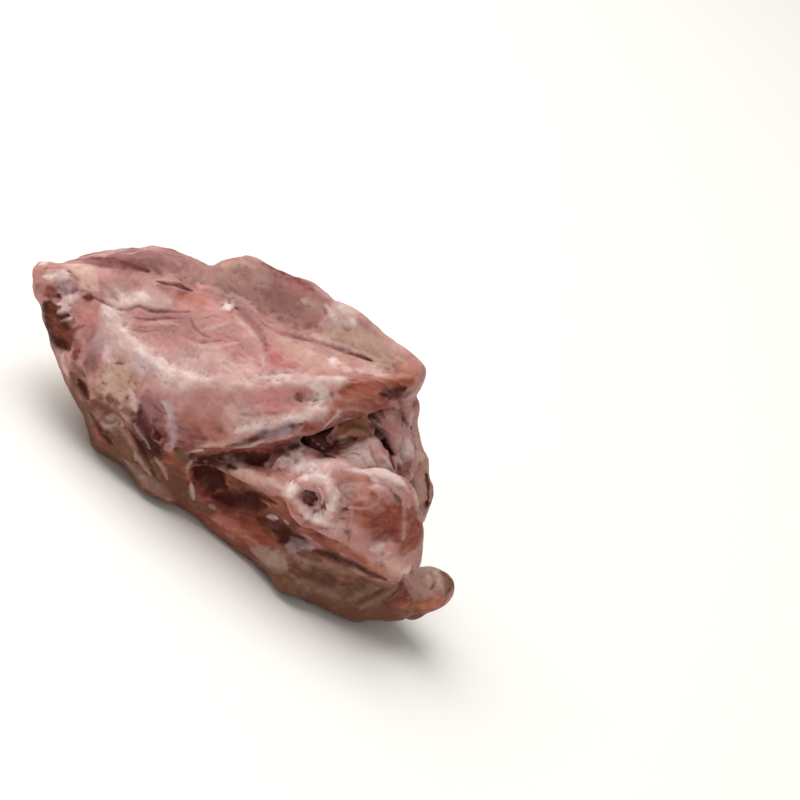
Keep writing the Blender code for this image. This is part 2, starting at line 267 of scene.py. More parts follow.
FLANK_MARKS = [
    ("muscle", 0.85, 8.0, 0, 120, 440, 150, 458, 180, 470, 200, 490, 240, 520),
    ("flesh", 0.95, 8.0, 0, 180, 402, 212, 408, 244, 408, 274, 404),
    ("film", 0.55, 5.0, 0, 238, 398, 246, 416, 262, 427),
    ("muscle", 0.45, 5.6, 0, 180, 416, 202, 426, 224, 434),
    ("deep_red", 0.7, 3.4, 0, 181, 430, 194, 438, 206, 438),
    ("orange", 0.4, 3.0, 0, 204, 428, 220, 434),
    ("purple", 1, 5.4, -0.3, 140, 408, 144, 426, 150, 446, 160, 456),
    ("dark_meat", 0.9, 4.2, -0.2, 140, 444, 152, 448, 162, 442),
    ("mauve", 0.6, 2.4, 0, 150, 404, 158, 414, 166, 424),
    ("blood", 0.95, 2.0, -0.4, 156, 430, 160, 440),
    ("lilac", 0.6, 1.8, 0.4, 162, 401, 169, 407, 173, 424, 174, 440, 170, 450),
    ("film", 0.3, 0.9, 0.3, 134, 424, 142, 436, 150, 450),
    ("rose", 0.35, 5.0, 0.1, 248, 402, 270, 405, 290, 404),
    ("deep_red", 0.55, 1.5, -0.25, 297, 393, 301, 401),
    ("deep_red", 0.3, 0.9, -0.15, 240, 414, 258, 415, 280, 413),
    ("film", 0.9, 2.2, 0.35, 314, 384, 326, 394, 323, 407, 307, 415, 283, 421, 256, 426, 236, 432),
    # Partly painted sheen: the lilac highlight on the fold
    ("lilac", 0.9, 1.4, 0.3, 258, 432, 280, 428, 301, 418),
    # Painted shadow under the rolled edge of the breast fold
    ("purple", 0.8, 1.6, -0.3, 234, 445, 250, 441, 266, 436, 286, 430, 302, 424),
    ("deep_red", 0.5, 2.2, 0, 304, 424, 318, 418, 330, 410),
    # Painted shade: the dark crease under the breast fold, in deep red and blood
    ("deep_red", 1, 3.6, -0.6, 192, 457, 220, 457, 250, 458, 274, 458, 294, 450, 308, 441),
    ("blood", 0.9, 1.6, -0.4, 212, 456, 244, 458, 264, 459, 282, 455, 302, 444),
    ("tan", 0.6, 1.9, 0, 202, 446, 228, 446, 248, 442),
    ("film", 0.7, 0.8, 0.3, 186, 452, 200, 450, 224, 449, 250, 445, 270, 438),
    ("skin", 0.85, 3.0, -0.2, 176, 449, 186, 458, 194, 463),
    ("olive", 0.5, 1.2, 0.3, 172, 456, 182, 456, 190, 452),
    ("muscle", 0.9, 4.6, 0, 340, 392, 356, 392, 374, 396, 388, 408),
    ("muscle", 0.8, 3.2, 0, 302, 430, 318, 423, 334, 411),
    ("flesh", 0.5, 3.0, 0, 348, 402, 362, 404, 376, 412),
    ("deep_red", 0.6, 1.2, -0.25, 366, 399, 377, 407, 385, 419),
    ("muscle", 1, 3.2, 0, 348, 389, 370, 385, 394, 385, 412, 381),
    # Painted shadow under the breast tip
    ("dark_meat", 0.85, 2.0, -0.2, 380, 394, 396, 392, 406, 388),
    ("orange", 0.5, 0.9, 0.25, 352, 383, 372, 380, 396, 378, 414, 376),
    ("tan", 0.8, 1.1, 0.35, 322, 429, 333, 419, 345, 411, 358, 409, 369, 417, 381, 426, 392, 433),
    ("film", 0.85, 3.0, 0.15, 312, 386, 322, 398, 318, 412, 304, 418),
    ("mauve", 0.85, 4.0, 0, 142, 398, 150, 404, 160, 420),
    ("mauve", 0.8, 3.2, 0, 174, 420, 180, 430, 186, 440),
    ("muscle", 0.7, 2.0, 0, 204, 450, 220, 450),
    ("purple", 0.7, 1.2, 0, 226, 446, 242, 444, 254, 439),
    # Partly painted sheen: the lilac highlight on the fold
    ("lilac", 0.8, 1.6, 0.2, 266, 437, 278, 434, 290, 429),
    ("deep_red", 0.95, 3.2, 0, 156, 428, 160, 436, 162, 444),
    ("blood", 0.95, 1.8, -0.3, 156, 432, 159, 440),
    ("lilac", 0.7, 1.3, 0.4, 163, 402, 170, 409, 174, 426, 173, 444),
    ("mauve", 0.8, 1.8, 0, 300, 450, 312, 452, 324, 456),
    ("muscle", 0.85, 1.3, 0, 206, 449, 222, 449, 236, 447),
    ("muscle", 0.7, 3.4, 0, 336, 405, 348, 401, 362, 402, 376, 408),
    ("muscle", 0.8, 1.6, 0, 340, 414, 352, 412, 366, 414),
    ("purple", 0.6, 2.0, 0, 154, 420, 161, 427, 164, 436),
    ("deep_red", 0.8, 1.8, 0, 178, 440, 186, 445, 194, 446),
    # Painted shadow under the fold
    ("dark_meat", 0.6, 1.5, 0, 280, 453, 290, 449, 300, 444),
    ("rose", 0.3, 1.8, 0, 290, 375, 306, 376, 322, 376),
    ("muscle", 0.5, 2.0, 0, 324, 405, 331, 403, 339, 402),
]
SHOULDER_MARKS = [
    ("flesh", 0.9, 5.0, 0, 34, 276, 42, 268, 60, 264, 80, 272),
    ("gristle", 0.8, 1.8, 0, 40, 265, 52, 260, 68, 261),
    ("orange", 0.35, 1.8, 0, 34, 270, 35, 277),
    ("mauve", 0.5, 0.8, -0.2, 42, 269, 58, 269, 72, 273),
    ("tan", 0.8, 3.0, 0.25, 66, 265, 82, 272, 97, 282),
    ("film", 0.35, 1.8, 0.2, 76, 266, 90, 268, 101, 271),
    ("mauve", 0.45, 0.8, -0.25, 68, 271, 80, 281, 94, 290),
    ("keel_film", 0.6, 3.4, 0, 106, 276, 118, 284, 142, 286),
    ("muscle", 0.8, 2.2, 0, 47, 287, 50, 297),
    ("gristle", 0.7, 1.5, 0.5, 43, 277, 54, 276, 69, 278),
    ("lilac", 0.9, 2.4, -0.6, 58, 287, 67, 287, 76, 290),
    ("purple", 0.9, 1.1, -0.3, 57, 294, 60, 298),
    # Partly real dark red meat, partly painted shade in the hollow under the shoulder
    ("dark_meat", 1, 4.6, -0.2, 49, 304, 54, 322, 61, 336, 69, 348),
    ("dark_meat", 0.6, 2.6, 0, 56, 312, 64, 328, 72, 340),
    ("rose", 0.55, 4.4, 0, 79, 314, 88, 321, 92, 331),
    ("flesh", 0.5, 2.6, 0, 76, 326, 82, 336),
    ("muscle", 0.85, 2.2, 0, 74, 340, 78, 348, 78, 355),
    ("mauve", 0.55, 4.6, 0, 87, 340, 95, 350, 99, 362),
    ("lilac", 0.55, 3.6, 0, 94, 332, 101, 342, 105, 352),
    ("purple", 0.5, 2.6, 0, 84, 364, 98, 367),
    ("muscle", 0.9, 2.4, 0, 83, 297, 93, 298),
    ("deep_red", 1, 1.4, -0.35, 85, 297, 92, 298),
    ("gristle", 0.9, 1.2, 0.6, 84, 293, 76, 297, 66, 301, 58, 304),
    ("rose", 0.6, 0.8, 0, 80, 294, 87, 292),
    ("film", 0.9, 0.9, 0.5, 57, 314, 64, 310, 72, 308),
    ("blood", 0.7, 0.9, -0.3, 60, 318, 70, 315),
    ("film", 0.7, 0.7, 0.4, 60, 322, 66, 320, 72, 318),
    ("film", 0.8, 4.8, 0, 104, 306, 114, 318, 121, 334),
    ("film", 0.7, 2.8, 0.1, 106, 346, 111, 356, 114, 364),
    ("mauve", 0.5, 1.8, 0, 64, 356, 66, 366, 72, 376),
    ("film", 0.65, 1.0, 0.4, 63, 354, 63, 364, 69, 376),
    ("skin", 0.85, 3.0, -0.2, 72, 374, 80, 386, 88, 398),
    ("dark_meat", 0.8, 1.5, -0.5, 79, 380, 84, 390, 89, 400),
    ("mauve", 0.8, 2.0, 0, 36, 285, 42, 292),
    ("muscle", 0.9, 1.8, 0, 48, 288, 52, 298),
    ("muscle", 0.8, 2.2, 0, 76, 352, 76, 360),
    # The same hollow: dark meat and painted shade
    ("dark_meat", 1, 3.4, 0, 45, 303, 47, 318, 52, 334, 60, 346),
    ("mauve", 0.6, 1.8, 0, 74, 340, 78, 350),
    ("deep_red", 0.8, 1.4, 0, 74, 351, 78, 357),
    ("deep_red", 0.6, 0.7, -0.2, 72, 333, 78, 328, 84, 326),
    ("mauve", 0.6, 1.4, 0, 90, 322, 94, 330, 90, 338),
    ("tan", 0.8, 2.6, 0.2, 78, 276, 88, 283, 98, 290),
    ("deep_red", 0.7, 1.3, 0, 64, 257, 84, 257, 102, 259),
    ("film", 0.6, 0.7, 0.25, 46, 269, 60, 271, 70, 275),
    ("flesh", 0.6, 0.9, 0, 44, 272, 56, 271),
    ("orange", 0.5, 1.2, 0, 40, 273, 46, 271),
    ("muscle", 0.4, 3.0, 0, 50, 306, 58, 322, 66, 338),
    ("deep_red", 0.6, 1.4, 0, 71, 326, 72, 338, 68, 350),
    ("mauve", 0.75, 2.2, 0, 84, 261, 96, 264, 110, 267),
    ("skin", 0.6, 1.8, 0, 72, 362, 78, 370, 84, 376),
    ("deep_red", 0.7, 1.6, 0, 48, 286, 53, 290, 55, 297),
    ("film", 0.5, 2.4, 0, 104, 290, 114, 292, 126, 292),
    ("mauve", 0.5, 1.4, 0, 71, 288, 78, 291, 84, 294),
    ("deep_red", 0.5, 1.4, 0, 97, 264, 106, 265, 114, 266),
    ("dark_meat", 0.6, 1.6, 0, 57, 315, 63, 321, 68, 329),
    ("flesh", 0.5, 1.0, 0, 42, 273, 50, 272, 58, 272),
    ("flesh", 0.5, 0.8, 0, 58, 303, 64, 301, 71, 299),
]
FAT_MARKS = [
    ("fat", 1, 4.8, 0.4, 112, 366, 119, 382, 122, 398),
    ("tan", 0.7, 3.2, 0.2, 98, 382, 106, 392, 116, 398),
    ("film", 0.75, 1.5, 0.5, 130, 388, 134, 400, 136, 412),
    ("muscle", 0.6, 1.6, -0.3, 106, 397, 114, 400),
    ("skin", 0.9, 3.6, -0.2, 92, 402, 102, 408, 110, 414, 122, 420),
    ("film", 0.4, 1.1, 0.4, 104, 380, 112, 374),
    # Skin of the back, its dark brown partly painted shade
    ("skin", 1, 5.0, 0, 100, 430, 120, 448, 146, 472, 172, 488, 196, 503),
    ("dark_meat", 0.6, 2.2, 0, 100, 436, 111, 443),
    ("pale_skin", 0.8, 1.5, 0.5, 106, 426, 119, 430, 129, 443, 137, 460),
    ("pale_skin", 0.4, 2.0, 0.1, 126, 460, 146, 482, 164, 492),
    # Painted highlight: two glossy streaks on the wet skin
    ("pale_skin", 0.6, 0.9, 0.45, 135, 452, 143, 463, 151, 476),
    ("pale_skin", 0.6, 0.9, 0.45, 155, 457, 162, 466, 168, 479),
    ("muscle", 0.6, 2.4, 0, 94, 427, 99, 438, 108, 449),
    ("dark_meat", 0.7, 1.4, -0.35, 90, 413, 95, 422, 102, 433, 112, 444),
    ("pale_skin", 0.75, 2.0, 0.15, 107, 418, 116, 420, 123, 425),
    ("skin", 0.7, 1.6, 0, 121, 410, 128, 412, 134, 415),
    # Painted shade beside the pale tendon, on skin
    ("skin", 0.8, 1.5, -0.2, 119, 436, 128, 447, 135, 458),
    ("dark_meat", 0.45, 0.7, -0.35, 129, 428, 138, 442, 146, 458, 154, 470),
    ("dark_meat", 0.35, 0.6, -0.3, 142, 458, 150, 470, 160, 482),
    ("pale_skin", 0.35, 1.8, 0.2, 140, 476, 154, 487, 170, 494),
    ("muscle", 0.5, 2.2, 0, 168, 470, 176, 482, 184, 494),
    ("skin", 0.7, 1.6, 0, 106, 399, 114, 401, 120, 404),
    ("skin", 0.4, 2.4, 0, 140, 480, 154, 488, 170, 497),
    ("skin", 0.7, 1.6, 0, 113, 428, 121, 434, 127, 442),
    ("skin", 0.8, 1.8, 0, 83, 397, 88, 406, 93, 415),
    ("skin", 0.5, 1.8, 0, 92, 388, 97, 394, 104, 399),
]
HIP_MARKS = [
    ("film", 0.9, 4.4, 0, 280, 462, 300, 458, 326, 461, 346, 466),
    ("gristle", 0.8, 2.6, 0.2, 298, 468, 314, 466),
    ("orange", 0.5, 2.0, 0, 268, 468, 284, 476),
    ("muscle", 1, 11.0, 0, 356, 498, 380, 508, 396, 530),
    ("muscle", 1, 6.0, 0, 408, 500, 414, 530, 404, 552),
    ("flesh", 0.7, 4.6, 0, 344, 486, 358, 490, 366, 498),
    ("deep_red", 0.5, 4.6, 0, 374, 518, 388, 528, 396, 540),
    ("gristle", 0.9, 1.9, 0.3, 293, 482, 288, 493, 293, 503),
    ("gristle", 0.9, 2.0, 0.3, 298, 479, 313, 476, 327, 481, 335, 490),
    ("gristle", 0.95, 1.6, 0.2, 335, 490, 338, 502),
    ("gristle", 1, 2.4, 0.35, 304, 513, 318, 518, 332, 516),
    ("gristle", 0.8, 1.6, 0.2, 326, 522, 334, 527),
    ("orange", 0.65, 1.4, 0.1, 287, 499, 295, 508, 305, 515),
    ("flesh", 0.8, 1.6, 0, 300, 507, 308, 511),
    # Painted shade in the hole of the hip socket
    ("purple", 1, 1.9, -1.2, 307, 490, 312, 496, 317, 499),
    ("blood", 0.5, 0.9, -0.6, 310, 493, 314, 497),
    ("rose", 0.5, 1.0, 0, 319, 486, 325, 496, 322, 506),
    ("film", 0.8, 0.6, 0.35, 318, 487, 323, 496, 321, 505),
    ("deep_red", 0.5, 0.7, 0, 327, 500, 330, 506),
    ("orange", 0.6, 1.8, 0, 346, 479, 362, 478, 378, 482),
    ("film", 0.95, 1.3, 0.3, 344, 470, 360, 470, 376, 472, 390, 476, 402, 483, 410, 493),
    ("film", 0.3, 0.5, 0.1, 342, 485, 354, 484, 366, 484),
    ("film", 0.3, 0.5, 0.1, 342, 506, 356, 508, 368, 508, 379, 501, 377, 492, 367, 486),
    ("film", 0.4, 0.8, 0.15, 402, 498, 405, 514, 403, 540),
    ("deep_red", 0.5, 1.6, 0, 409, 505, 412, 525),
    ("deep_red", 0.7, 1.4, -0.15, 340, 506, 348, 510),
    ("flesh", 0.75, 3.0, 0, 324, 531, 340, 528),
    ("flesh", 0.6, 4.0, 0, 334, 538, 352, 540, 370, 545),
    ("film", 0.65, 1.3, 0.25, 370, 549, 378, 547, 385, 543),
    ("dark_meat", 0.85, 2.3, -0.3, 302, 551, 324, 553, 344, 560, 364, 569, 386, 581),
    ("orange", 0.65, 1.7, 0.2, 342, 549, 360, 559, 382, 572, 400, 581),
    ("tan", 0.75, 3.6, 0, 386, 560, 398, 567, 408, 572),
    ("film", 0.6, 1.4, 0.2, 402, 571, 412, 568),
    ("flesh", 0.9, 3.0, 0, 372, 482, 384, 487, 396, 494, 403, 504),
    ("flesh", 0.9, 2.6, 0, 328, 531, 342, 527),
    ("flesh", 0.8, 2.2, 0, 268, 463, 282, 461),
    ("gristle", 0.9, 1.6, 0, 326, 506, 334, 510),
    ("gristle", 0.9, 1.6, 0, 296, 484, 295, 492),
    ("flesh", 0.95, 3.8, 0, 320, 527, 333, 535, 346, 544, 362, 550),
    ("orange", 0.45, 2.2, 0, 322, 535, 336, 543, 352, 551),
    ("mauve", 0.6, 1.2, 0, 303, 488, 305, 496),
    ("lilac", 0.7, 0.7, 0, 313, 488, 319, 496, 318, 503),
    ("film", 0.9, 1.8, 0, 328, 488, 334, 498, 331, 507),
    ("orange", 0.7, 1.9, 0, 286, 497, 293, 507, 302, 514),
    ("flesh", 0.8, 1.5, 0, 296, 500, 302, 507, 311, 510),
    # Painted shade in the socket's hole
    ("purple", 0.5, 1.0, 0, 306, 489, 312, 496, 316, 501),
    ("rose", 0.4, 1.6, 0, 330, 481, 336, 489),
    ("tan", 0.6, 1.8, 0, 342, 500, 348, 503),
    ("film", 0.9, 1.4, 0, 396, 479, 404, 485),
    ("flesh", 0.9, 3.4, 0, 266, 464, 280, 465, 292, 464),
    ("film", 0.8, 2.4, 0, 280, 465, 296, 464, 310, 466),
    ("flesh", 0.9, 3.2, 0, 320, 528, 334, 530, 348, 536),
    ("muscle", 0.6, 2.0, 0, 303, 524, 312, 528),
    ("film", 0.9, 1.5, 0, 362, 470, 378, 472, 392, 477, 404, 485),
    ("flesh", 0.6, 2.2, 0, 338, 500, 346, 504),
    ("film", 0.55, 2.2, 0, 372, 479, 386, 484, 396, 490),
    ("muscle", 0.85, 1.7, 0, 340, 549, 354, 556, 367, 564),
    ("mauve", 0.9, 2.0, 0, 302, 452, 311, 453, 322, 457),
    ("flesh", 0.9, 1.8, 0, 270, 462, 279, 461, 290, 462),
    ("film", 0.6, 2.6, 0, 324, 521, 334, 525, 346, 530),
    ("flesh", 0.8, 1.7, 0, 403, 487, 407, 498, 409, 508),
    ("film", 0.7, 1.5, 0, 337, 494, 341, 501, 345, 506),
    ("muscle", 0.6, 1.1, 0, 305, 521, 314, 525, 322, 529),
    ("rose", 0.8, 1.0, 0, 298, 499, 303, 506, 311, 508),
    ("film", 0.5, 0.8, 0, 296, 497, 300, 505, 309, 510),
    ("film", 0.7, 1.9, 0, 275, 462, 288, 458, 301, 454),
    # Painted shadow under the fold
    ("dark_meat", 0.85, 1.5, 0, 274, 453, 288, 449, 300, 444),
    ("flesh", 0.7, 1.8, 0, 339, 489, 348, 491, 357, 492),
    ("flesh", 0.4, 2.2, 0, 365, 500, 374, 506, 383, 510),
    ("rose", 0.7, 0.9, 0, 311, 508, 317, 506, 322, 501),
    ("mauve", 0.7, 0.9, 0, 300, 493, 302, 499),
    ("film", 0.8, 1.2, 0, 299, 508, 306, 512, 315, 514),
    ("lilac", 0.7, 0.8, 0, 314, 507, 319, 505, 322, 500),
    ("flesh", 0.6, 1.8, 0, 390, 489, 397, 494, 402, 501),
    ("rose", 0.6, 0.8, 0, 299, 494, 301, 499, 304, 503),
    ("lilac", 0.8, 1.0, 0, 313, 508, 319, 506, 323, 502),
    ("film", 0.5, 1.6, 0, 340, 489, 346, 490, 354, 491),
    ("film", 0.45, 1.6, 0, 390, 488, 397, 493, 402, 500),
    ("lilac", 0.3, 1.5, 0, 306, 489, 311, 496, 316, 501),
    ("film", 0.4, 1.0, 0, 295, 498, 299, 505, 306, 510),
]
LOIN_MARKS = [
    ("muscle", 1, 8.0, 0, 200, 494, 230, 512, 258, 528, 284, 540),
    ("skin", 0.9, 2.6, 0, 174, 466, 178, 484, 190, 500, 208, 513),
    # Painted shade: the dark hole of the loin, over dark meat
    ("dark_meat", 1, 6.0, -0.5, 196, 470, 211, 475, 223, 486),
    ("dark_meat", 0.9, 3.2, -0.4, 214, 496, 240, 500, 266, 506),
    ("olive", 0.5, 2.4, 0, 228, 475, 240, 484, 254, 490),
    ("tan", 0.85, 1.8, 0.4, 204, 461, 224, 464, 246, 470, 264, 477, 284, 489),
    ("film", 0.5, 0.8, 0.2, 236, 467, 250, 472),
    ("orange", 0.65, 3.0, 0, 256, 492, 272, 500, 286, 508),
    ("film", 0.4, 0.6, 0.3, 192, 460, 187, 469, 189, 480),
    ("film", 0.85, 0.7, 0.4, 191, 482, 194, 500),
    ("orange", 0.5, 1.4, 0.4, 210, 517, 234, 529, 258, 544),
    ("rose", 0.35, 2.6, 0, 216, 517, 240, 530),
    # Painted highlights: three small glints on the loin
    ("film", 0.75, 0.7, 0.3, 209, 505, 216, 509),
    ("film", 0.8, 0.7, 0.3, 267, 516, 278, 518),
    ("film", 0.6, 0.7, 0.3, 284, 520, 290, 524),
    # Painted shade: the dark hollow at the loin's lower edge
    ("dark_meat", 0.7, 3.2, -0.4, 276, 531, 290, 538, 302, 538),
    ("olive", 0.5, 2.0, 0, 282, 526, 297, 532),
    ("purple", 0.5, 1.6, 0, 290, 525, 300, 524),
    # Painted shade in the crease under the fold
    ("dark_meat", 0.95, 2.2, -0.2, 196, 462, 208, 462, 218, 466),
    ("muscle", 0.7, 1.6, 0, 220, 470, 230, 474),
    ("dark_meat", 0.95, 2.6, 0, 280, 541, 296, 539, 308, 544),
    ("skin", 0.8, 2.0, 0, 200, 506, 216, 512),
    # Painted shade in the crease under the fold
    ("dark_meat", 0.95, 1.5, 0, 208, 459, 218, 460, 226, 463),
    ("dark_meat", 0.8, 1.8, 0, 214, 463, 228, 466, 237, 469),
    ("dark_meat", 0.8, 1.9, -0.2, 246, 494, 262, 496, 276, 503),
    ("dark_meat", 0.85, 1.4, 0, 246, 461, 256, 463, 264, 466),
    ("dark_meat", 0.55, 3.0, -0.1, 258, 518, 274, 525, 292, 533),
    ("muscle", 0.6, 1.4, 0, 253, 470, 263, 473, 271, 477),
    ("dark_meat", 0.35, 5.0, 0, 212, 492, 240, 505, 270, 514),
    ("dark_meat", 0.3, 4.0, 0, 260, 519, 284, 530, 306, 541),
    # Painted highlight: a small glint
    ("film", 0.6, 0.7, 0, 267, 516, 278, 518),
]
BACK_MARKS = [
    # The skin of the back faces down: its dark brown is partly painted shade
    ("skin", 1, 10.0, 0.2, 256, 562, 286, 582, 330, 600, 380, 608, 420, 604),
    ("pale_skin", 0.5, 2.4, 0.1, 252, 549, 268, 559, 287, 568),
    ("lilac", 0.5, 2.2, 0.1, 286, 546, 300, 546, 313, 548),
    ("pale_skin", 0.35, 2.8, 0.1, 296, 558, 320, 565, 346, 573),
    ("olive", 0.5, 4.0, 0, 350, 588, 372, 590, 394, 594),
    ("pale_skin", 0.2, 1.2, 0.15, 348, 600, 364, 592, 380, 588),
    ("pale_skin", 0.2, 1.2, 0.15, 360, 608, 376, 600, 392, 590),
    ("dark_meat", 0.25, 0.9, -0.2, 354, 605, 370, 596, 388, 588),
    ("pale_skin", 0.2, 1.8, 0.1, 296, 580, 318, 588, 340, 598),
    ("muscle", 0.8, 3.4, 0, 396, 606, 414, 606, 431, 600),
    ("orange", 0.4, 1.6, 0, 420, 608, 432, 607, 444, 602),
    ("pale_skin", 0.95, 4.2, 0, 413, 574, 430, 571, 444, 575),
    ("pale_skin", 0.5, 3.0, 0, 404, 582, 420, 587, 436, 588),
    ("olive", 0.35, 2.6, 0, 432, 586, 446, 590),
    ("dark_meat", 0.5, 0.9, -0.3, 412, 566, 410, 576),
    ("muscle", 0.8, 1.8, 0, 436, 604, 446, 598),
    ("orange", 0.6, 2.2, 0, 402, 606, 424, 608, 444, 598),
    ("tan", 0.5, 2.4, 0, 424, 578, 440, 580, 448, 590),
    ("deep_red", 0.5, 1.8, 0, 396, 598, 410, 596, 424, 598),
    ("pale_skin", 0.45, 2.4, 0, 260, 548, 272, 556, 286, 564),
    ("skin", 0.85, 2.1, 0, 441, 571, 449, 583, 445, 594),
    ("dark_meat", 0.4, 0.8, -0.3, 430, 571, 435, 581, 430, 590),
    ("skin", 0.45, 2.0, -0.2, 300, 570, 322, 577, 344, 584),
    ("dark_meat", 0.35, 0.9, -0.3, 404, 574, 400, 586, 390, 598),
    ("pale_skin", 0.6, 2.2, 0, 262, 551, 271, 555, 282, 558),
    ("muscle", 0.35, 3.0, 0, 390, 590, 404, 592, 420, 596),
    ("orange", 0.5, 2.2, 0, 416, 605, 430, 604, 442, 599),
    ("skin", 0.8, 1.5, -0.15, 297, 553, 310, 557, 323, 561),
    ("pale_skin", 0.5, 1.8, 0, 409, 592, 418, 596, 427, 598),
    ("skin", 0.6, 1.6, 0, 394, 613, 408, 611, 421, 609),
]
VENT_MARKS = [
    ("flesh", 1, 5.0, 0, 348, 457, 366, 452, 384, 452),
    ("film", 0.55, 4.0, 0, 344, 456, 362, 449, 380, 449),
    ("film", 0.7, 1.2, 0.3, 344, 450, 358, 445, 370, 441, 386, 442),
    # Partly painted sheen: the lilac highlight on the lobe
    ("lilac", 0.5, 2.0, 0.2, 346, 461, 360, 459, 374, 464),
    ("mauve", 0.6, 0.8, -0.3, 370, 446, 373, 457, 378, 468),
    ("orange", 0.35, 1.8, 0, 376, 448, 386, 456),
    ("film", 0.6, 0.8, 0.3, 378, 452, 386, 460, 392, 468),
    # Painted shade: the dark left hole of the vent
    ("deep_red", 1, 4.0, 0, 316, 438, 328, 444, 336, 452),
    # Partly painted light: the liver lump kept light inside the shaded vent
    ("liver", 1, 3.0, 0, 340, 431, 352, 423, 366, 427),
    ("tan", 0.5, 1.4, 0, 342, 432, 350, 436, 358, 434),
    # Painted shadow under the vent's arch
    ("blood", 0.8, 1.6, 0, 368, 424, 376, 431, 384, 437),
    ("mauve", 0.4, 3.6, 0, 390, 402, 402, 410, 406, 424),
    ("flesh", 0.7, 2.2, 0, 390, 401, 399, 407, 404, 416),
    ("film", 0.45, 3.0, 0, 394, 446, 400, 458, 402, 470),
    ("film", 0.75, 1.8, 0.2, 402, 434, 408, 446, 412, 456),
    ("deep_red", 0.7, 0.9, -0.4, 386, 444, 391, 455, 396, 470),
    ("rose", 0.3, 2.4, 0, 388, 426, 396, 434),
    ("muscle", 0.6, 1.6, 0, 406, 458, 410, 474),
    ("olive", 0.7, 1.6, 0, 424, 460, 428, 472, 430, 488),
    ("tan", 0.75, 1.6, 0.2, 414, 476, 416, 492, 418, 510),
    ("blood", 1, 1.2, -0.3, 426, 501, 428, 507),
    ("film", 0.4, 1.6, 0, 420, 510, 424, 526),
    # Painted shade in the left hole of the vent
    ("dark_meat", 0.9, 2.0, 0, 314, 447, 324, 453, 335, 458),
    ("tan", 0.85, 1.9, 0, 416, 452, 423, 462),
    ("tan", 0.7, 1.8, 0, 411, 480, 413, 490),
    ("flesh", 0.8, 2.3, 0, 384, 424, 394, 432),
    ("film", 0.7, 2.2, 0, 382, 466, 390, 470),
    # Painted shadow under the vent's arch
    ("dark_meat", 0.6, 2.6, 0, 356, 432, 368, 430),
    # Painted shade in the left hole, over its reddish strands
    ("muscle", 0.9, 3.0, 0, 312, 440, 322, 444, 334, 446),
    ("deep_red", 0.7, 1.4, 0, 316, 436, 326, 442, 336, 452),
    # Partly painted light: the liver lump kept light inside the shaded vent
    ("liver", 1, 4.0, 0, 336, 438, 345, 433, 357, 429, 370, 434),
    ("olive", 0.8, 1.6, 0, 352, 424, 360, 427, 368, 430),
    ("tan", 0.6, 1.2, 0, 340, 436, 348, 440),
    ("dark_meat", 0.85, 0.9, -0.3, 426, 472, 429, 486, 428, 500),
    ("tan", 0.9, 1.8, 0, 414, 474, 418, 488, 419, 504),
    ("mauve", 0.7, 1.0, -0.5, 398, 400, 404, 412, 402, 426),
    ("film", 0.5, 1.2, 0.3, 408, 402, 411, 416, 408, 430),
    ("mauve", 0.6, 0.9, -0.4, 404, 436, 400, 450, 404, 466),
    ("flesh", 0.8, 3.0, 0, 388, 432, 392, 442),
    ("mauve", 0.5, 0.7, -0.3, 352, 452, 362, 456, 366, 466),
    ("flesh", 0.8, 3.0, 0, 384, 424, 392, 432, 396, 442),
    ("film", 0.6, 2.4, 0, 397, 440, 401, 452, 402, 464),
    ("film", 0.5, 2.6, 0, 372, 462, 380, 466),
    ("flesh", 0.6, 2.6, 0, 404, 424, 407, 436),
    ("deep_red", 0.85, 0.9, -0.3, 385, 444, 390, 454, 395, 470),
    # Painted light: a lighter patch inside the shaded vent
    ("tan", 0.8, 1.5, 0, 338, 446, 345, 444, 352, 441),
    ("film", 0.6, 3.0, 0, 346, 452, 360, 457, 373, 462),
    # Painted shadow under the breast tip
    ("dark_meat", 0.5, 1.6, 0, 396, 398, 404, 396, 410, 392),
    # Painted shade in the left hole of the vent
    ("blood", 0.5, 1.4, 0, 322, 438, 330, 437, 336, 434),
    ("fat", 0.6, 1.8, 0, 419, 454, 424, 463, 427, 472),
    ("flesh", 0.6, 1.4, 0, 390, 439, 394, 446, 397, 455),
    ("flesh", 0.7, 2.0, 0, 394, 403, 402, 409, 406, 417),
    ("dark_meat", 0.5, 1.1, 0, 338, 421, 346, 417, 357, 416),
    ("tan", 0.6, 1.4, 0, 411, 475, 414, 484, 415, 493),
]
BOTH_SIDES = [
    KEEL_MARKS, BREAST_MARKS, BAND_MARKS, FLANK_MARKS, SHOULDER_MARKS, FAT_MARKS, HIP_MARKS, LOIN_MARKS,
    BACK_MARKS,
]

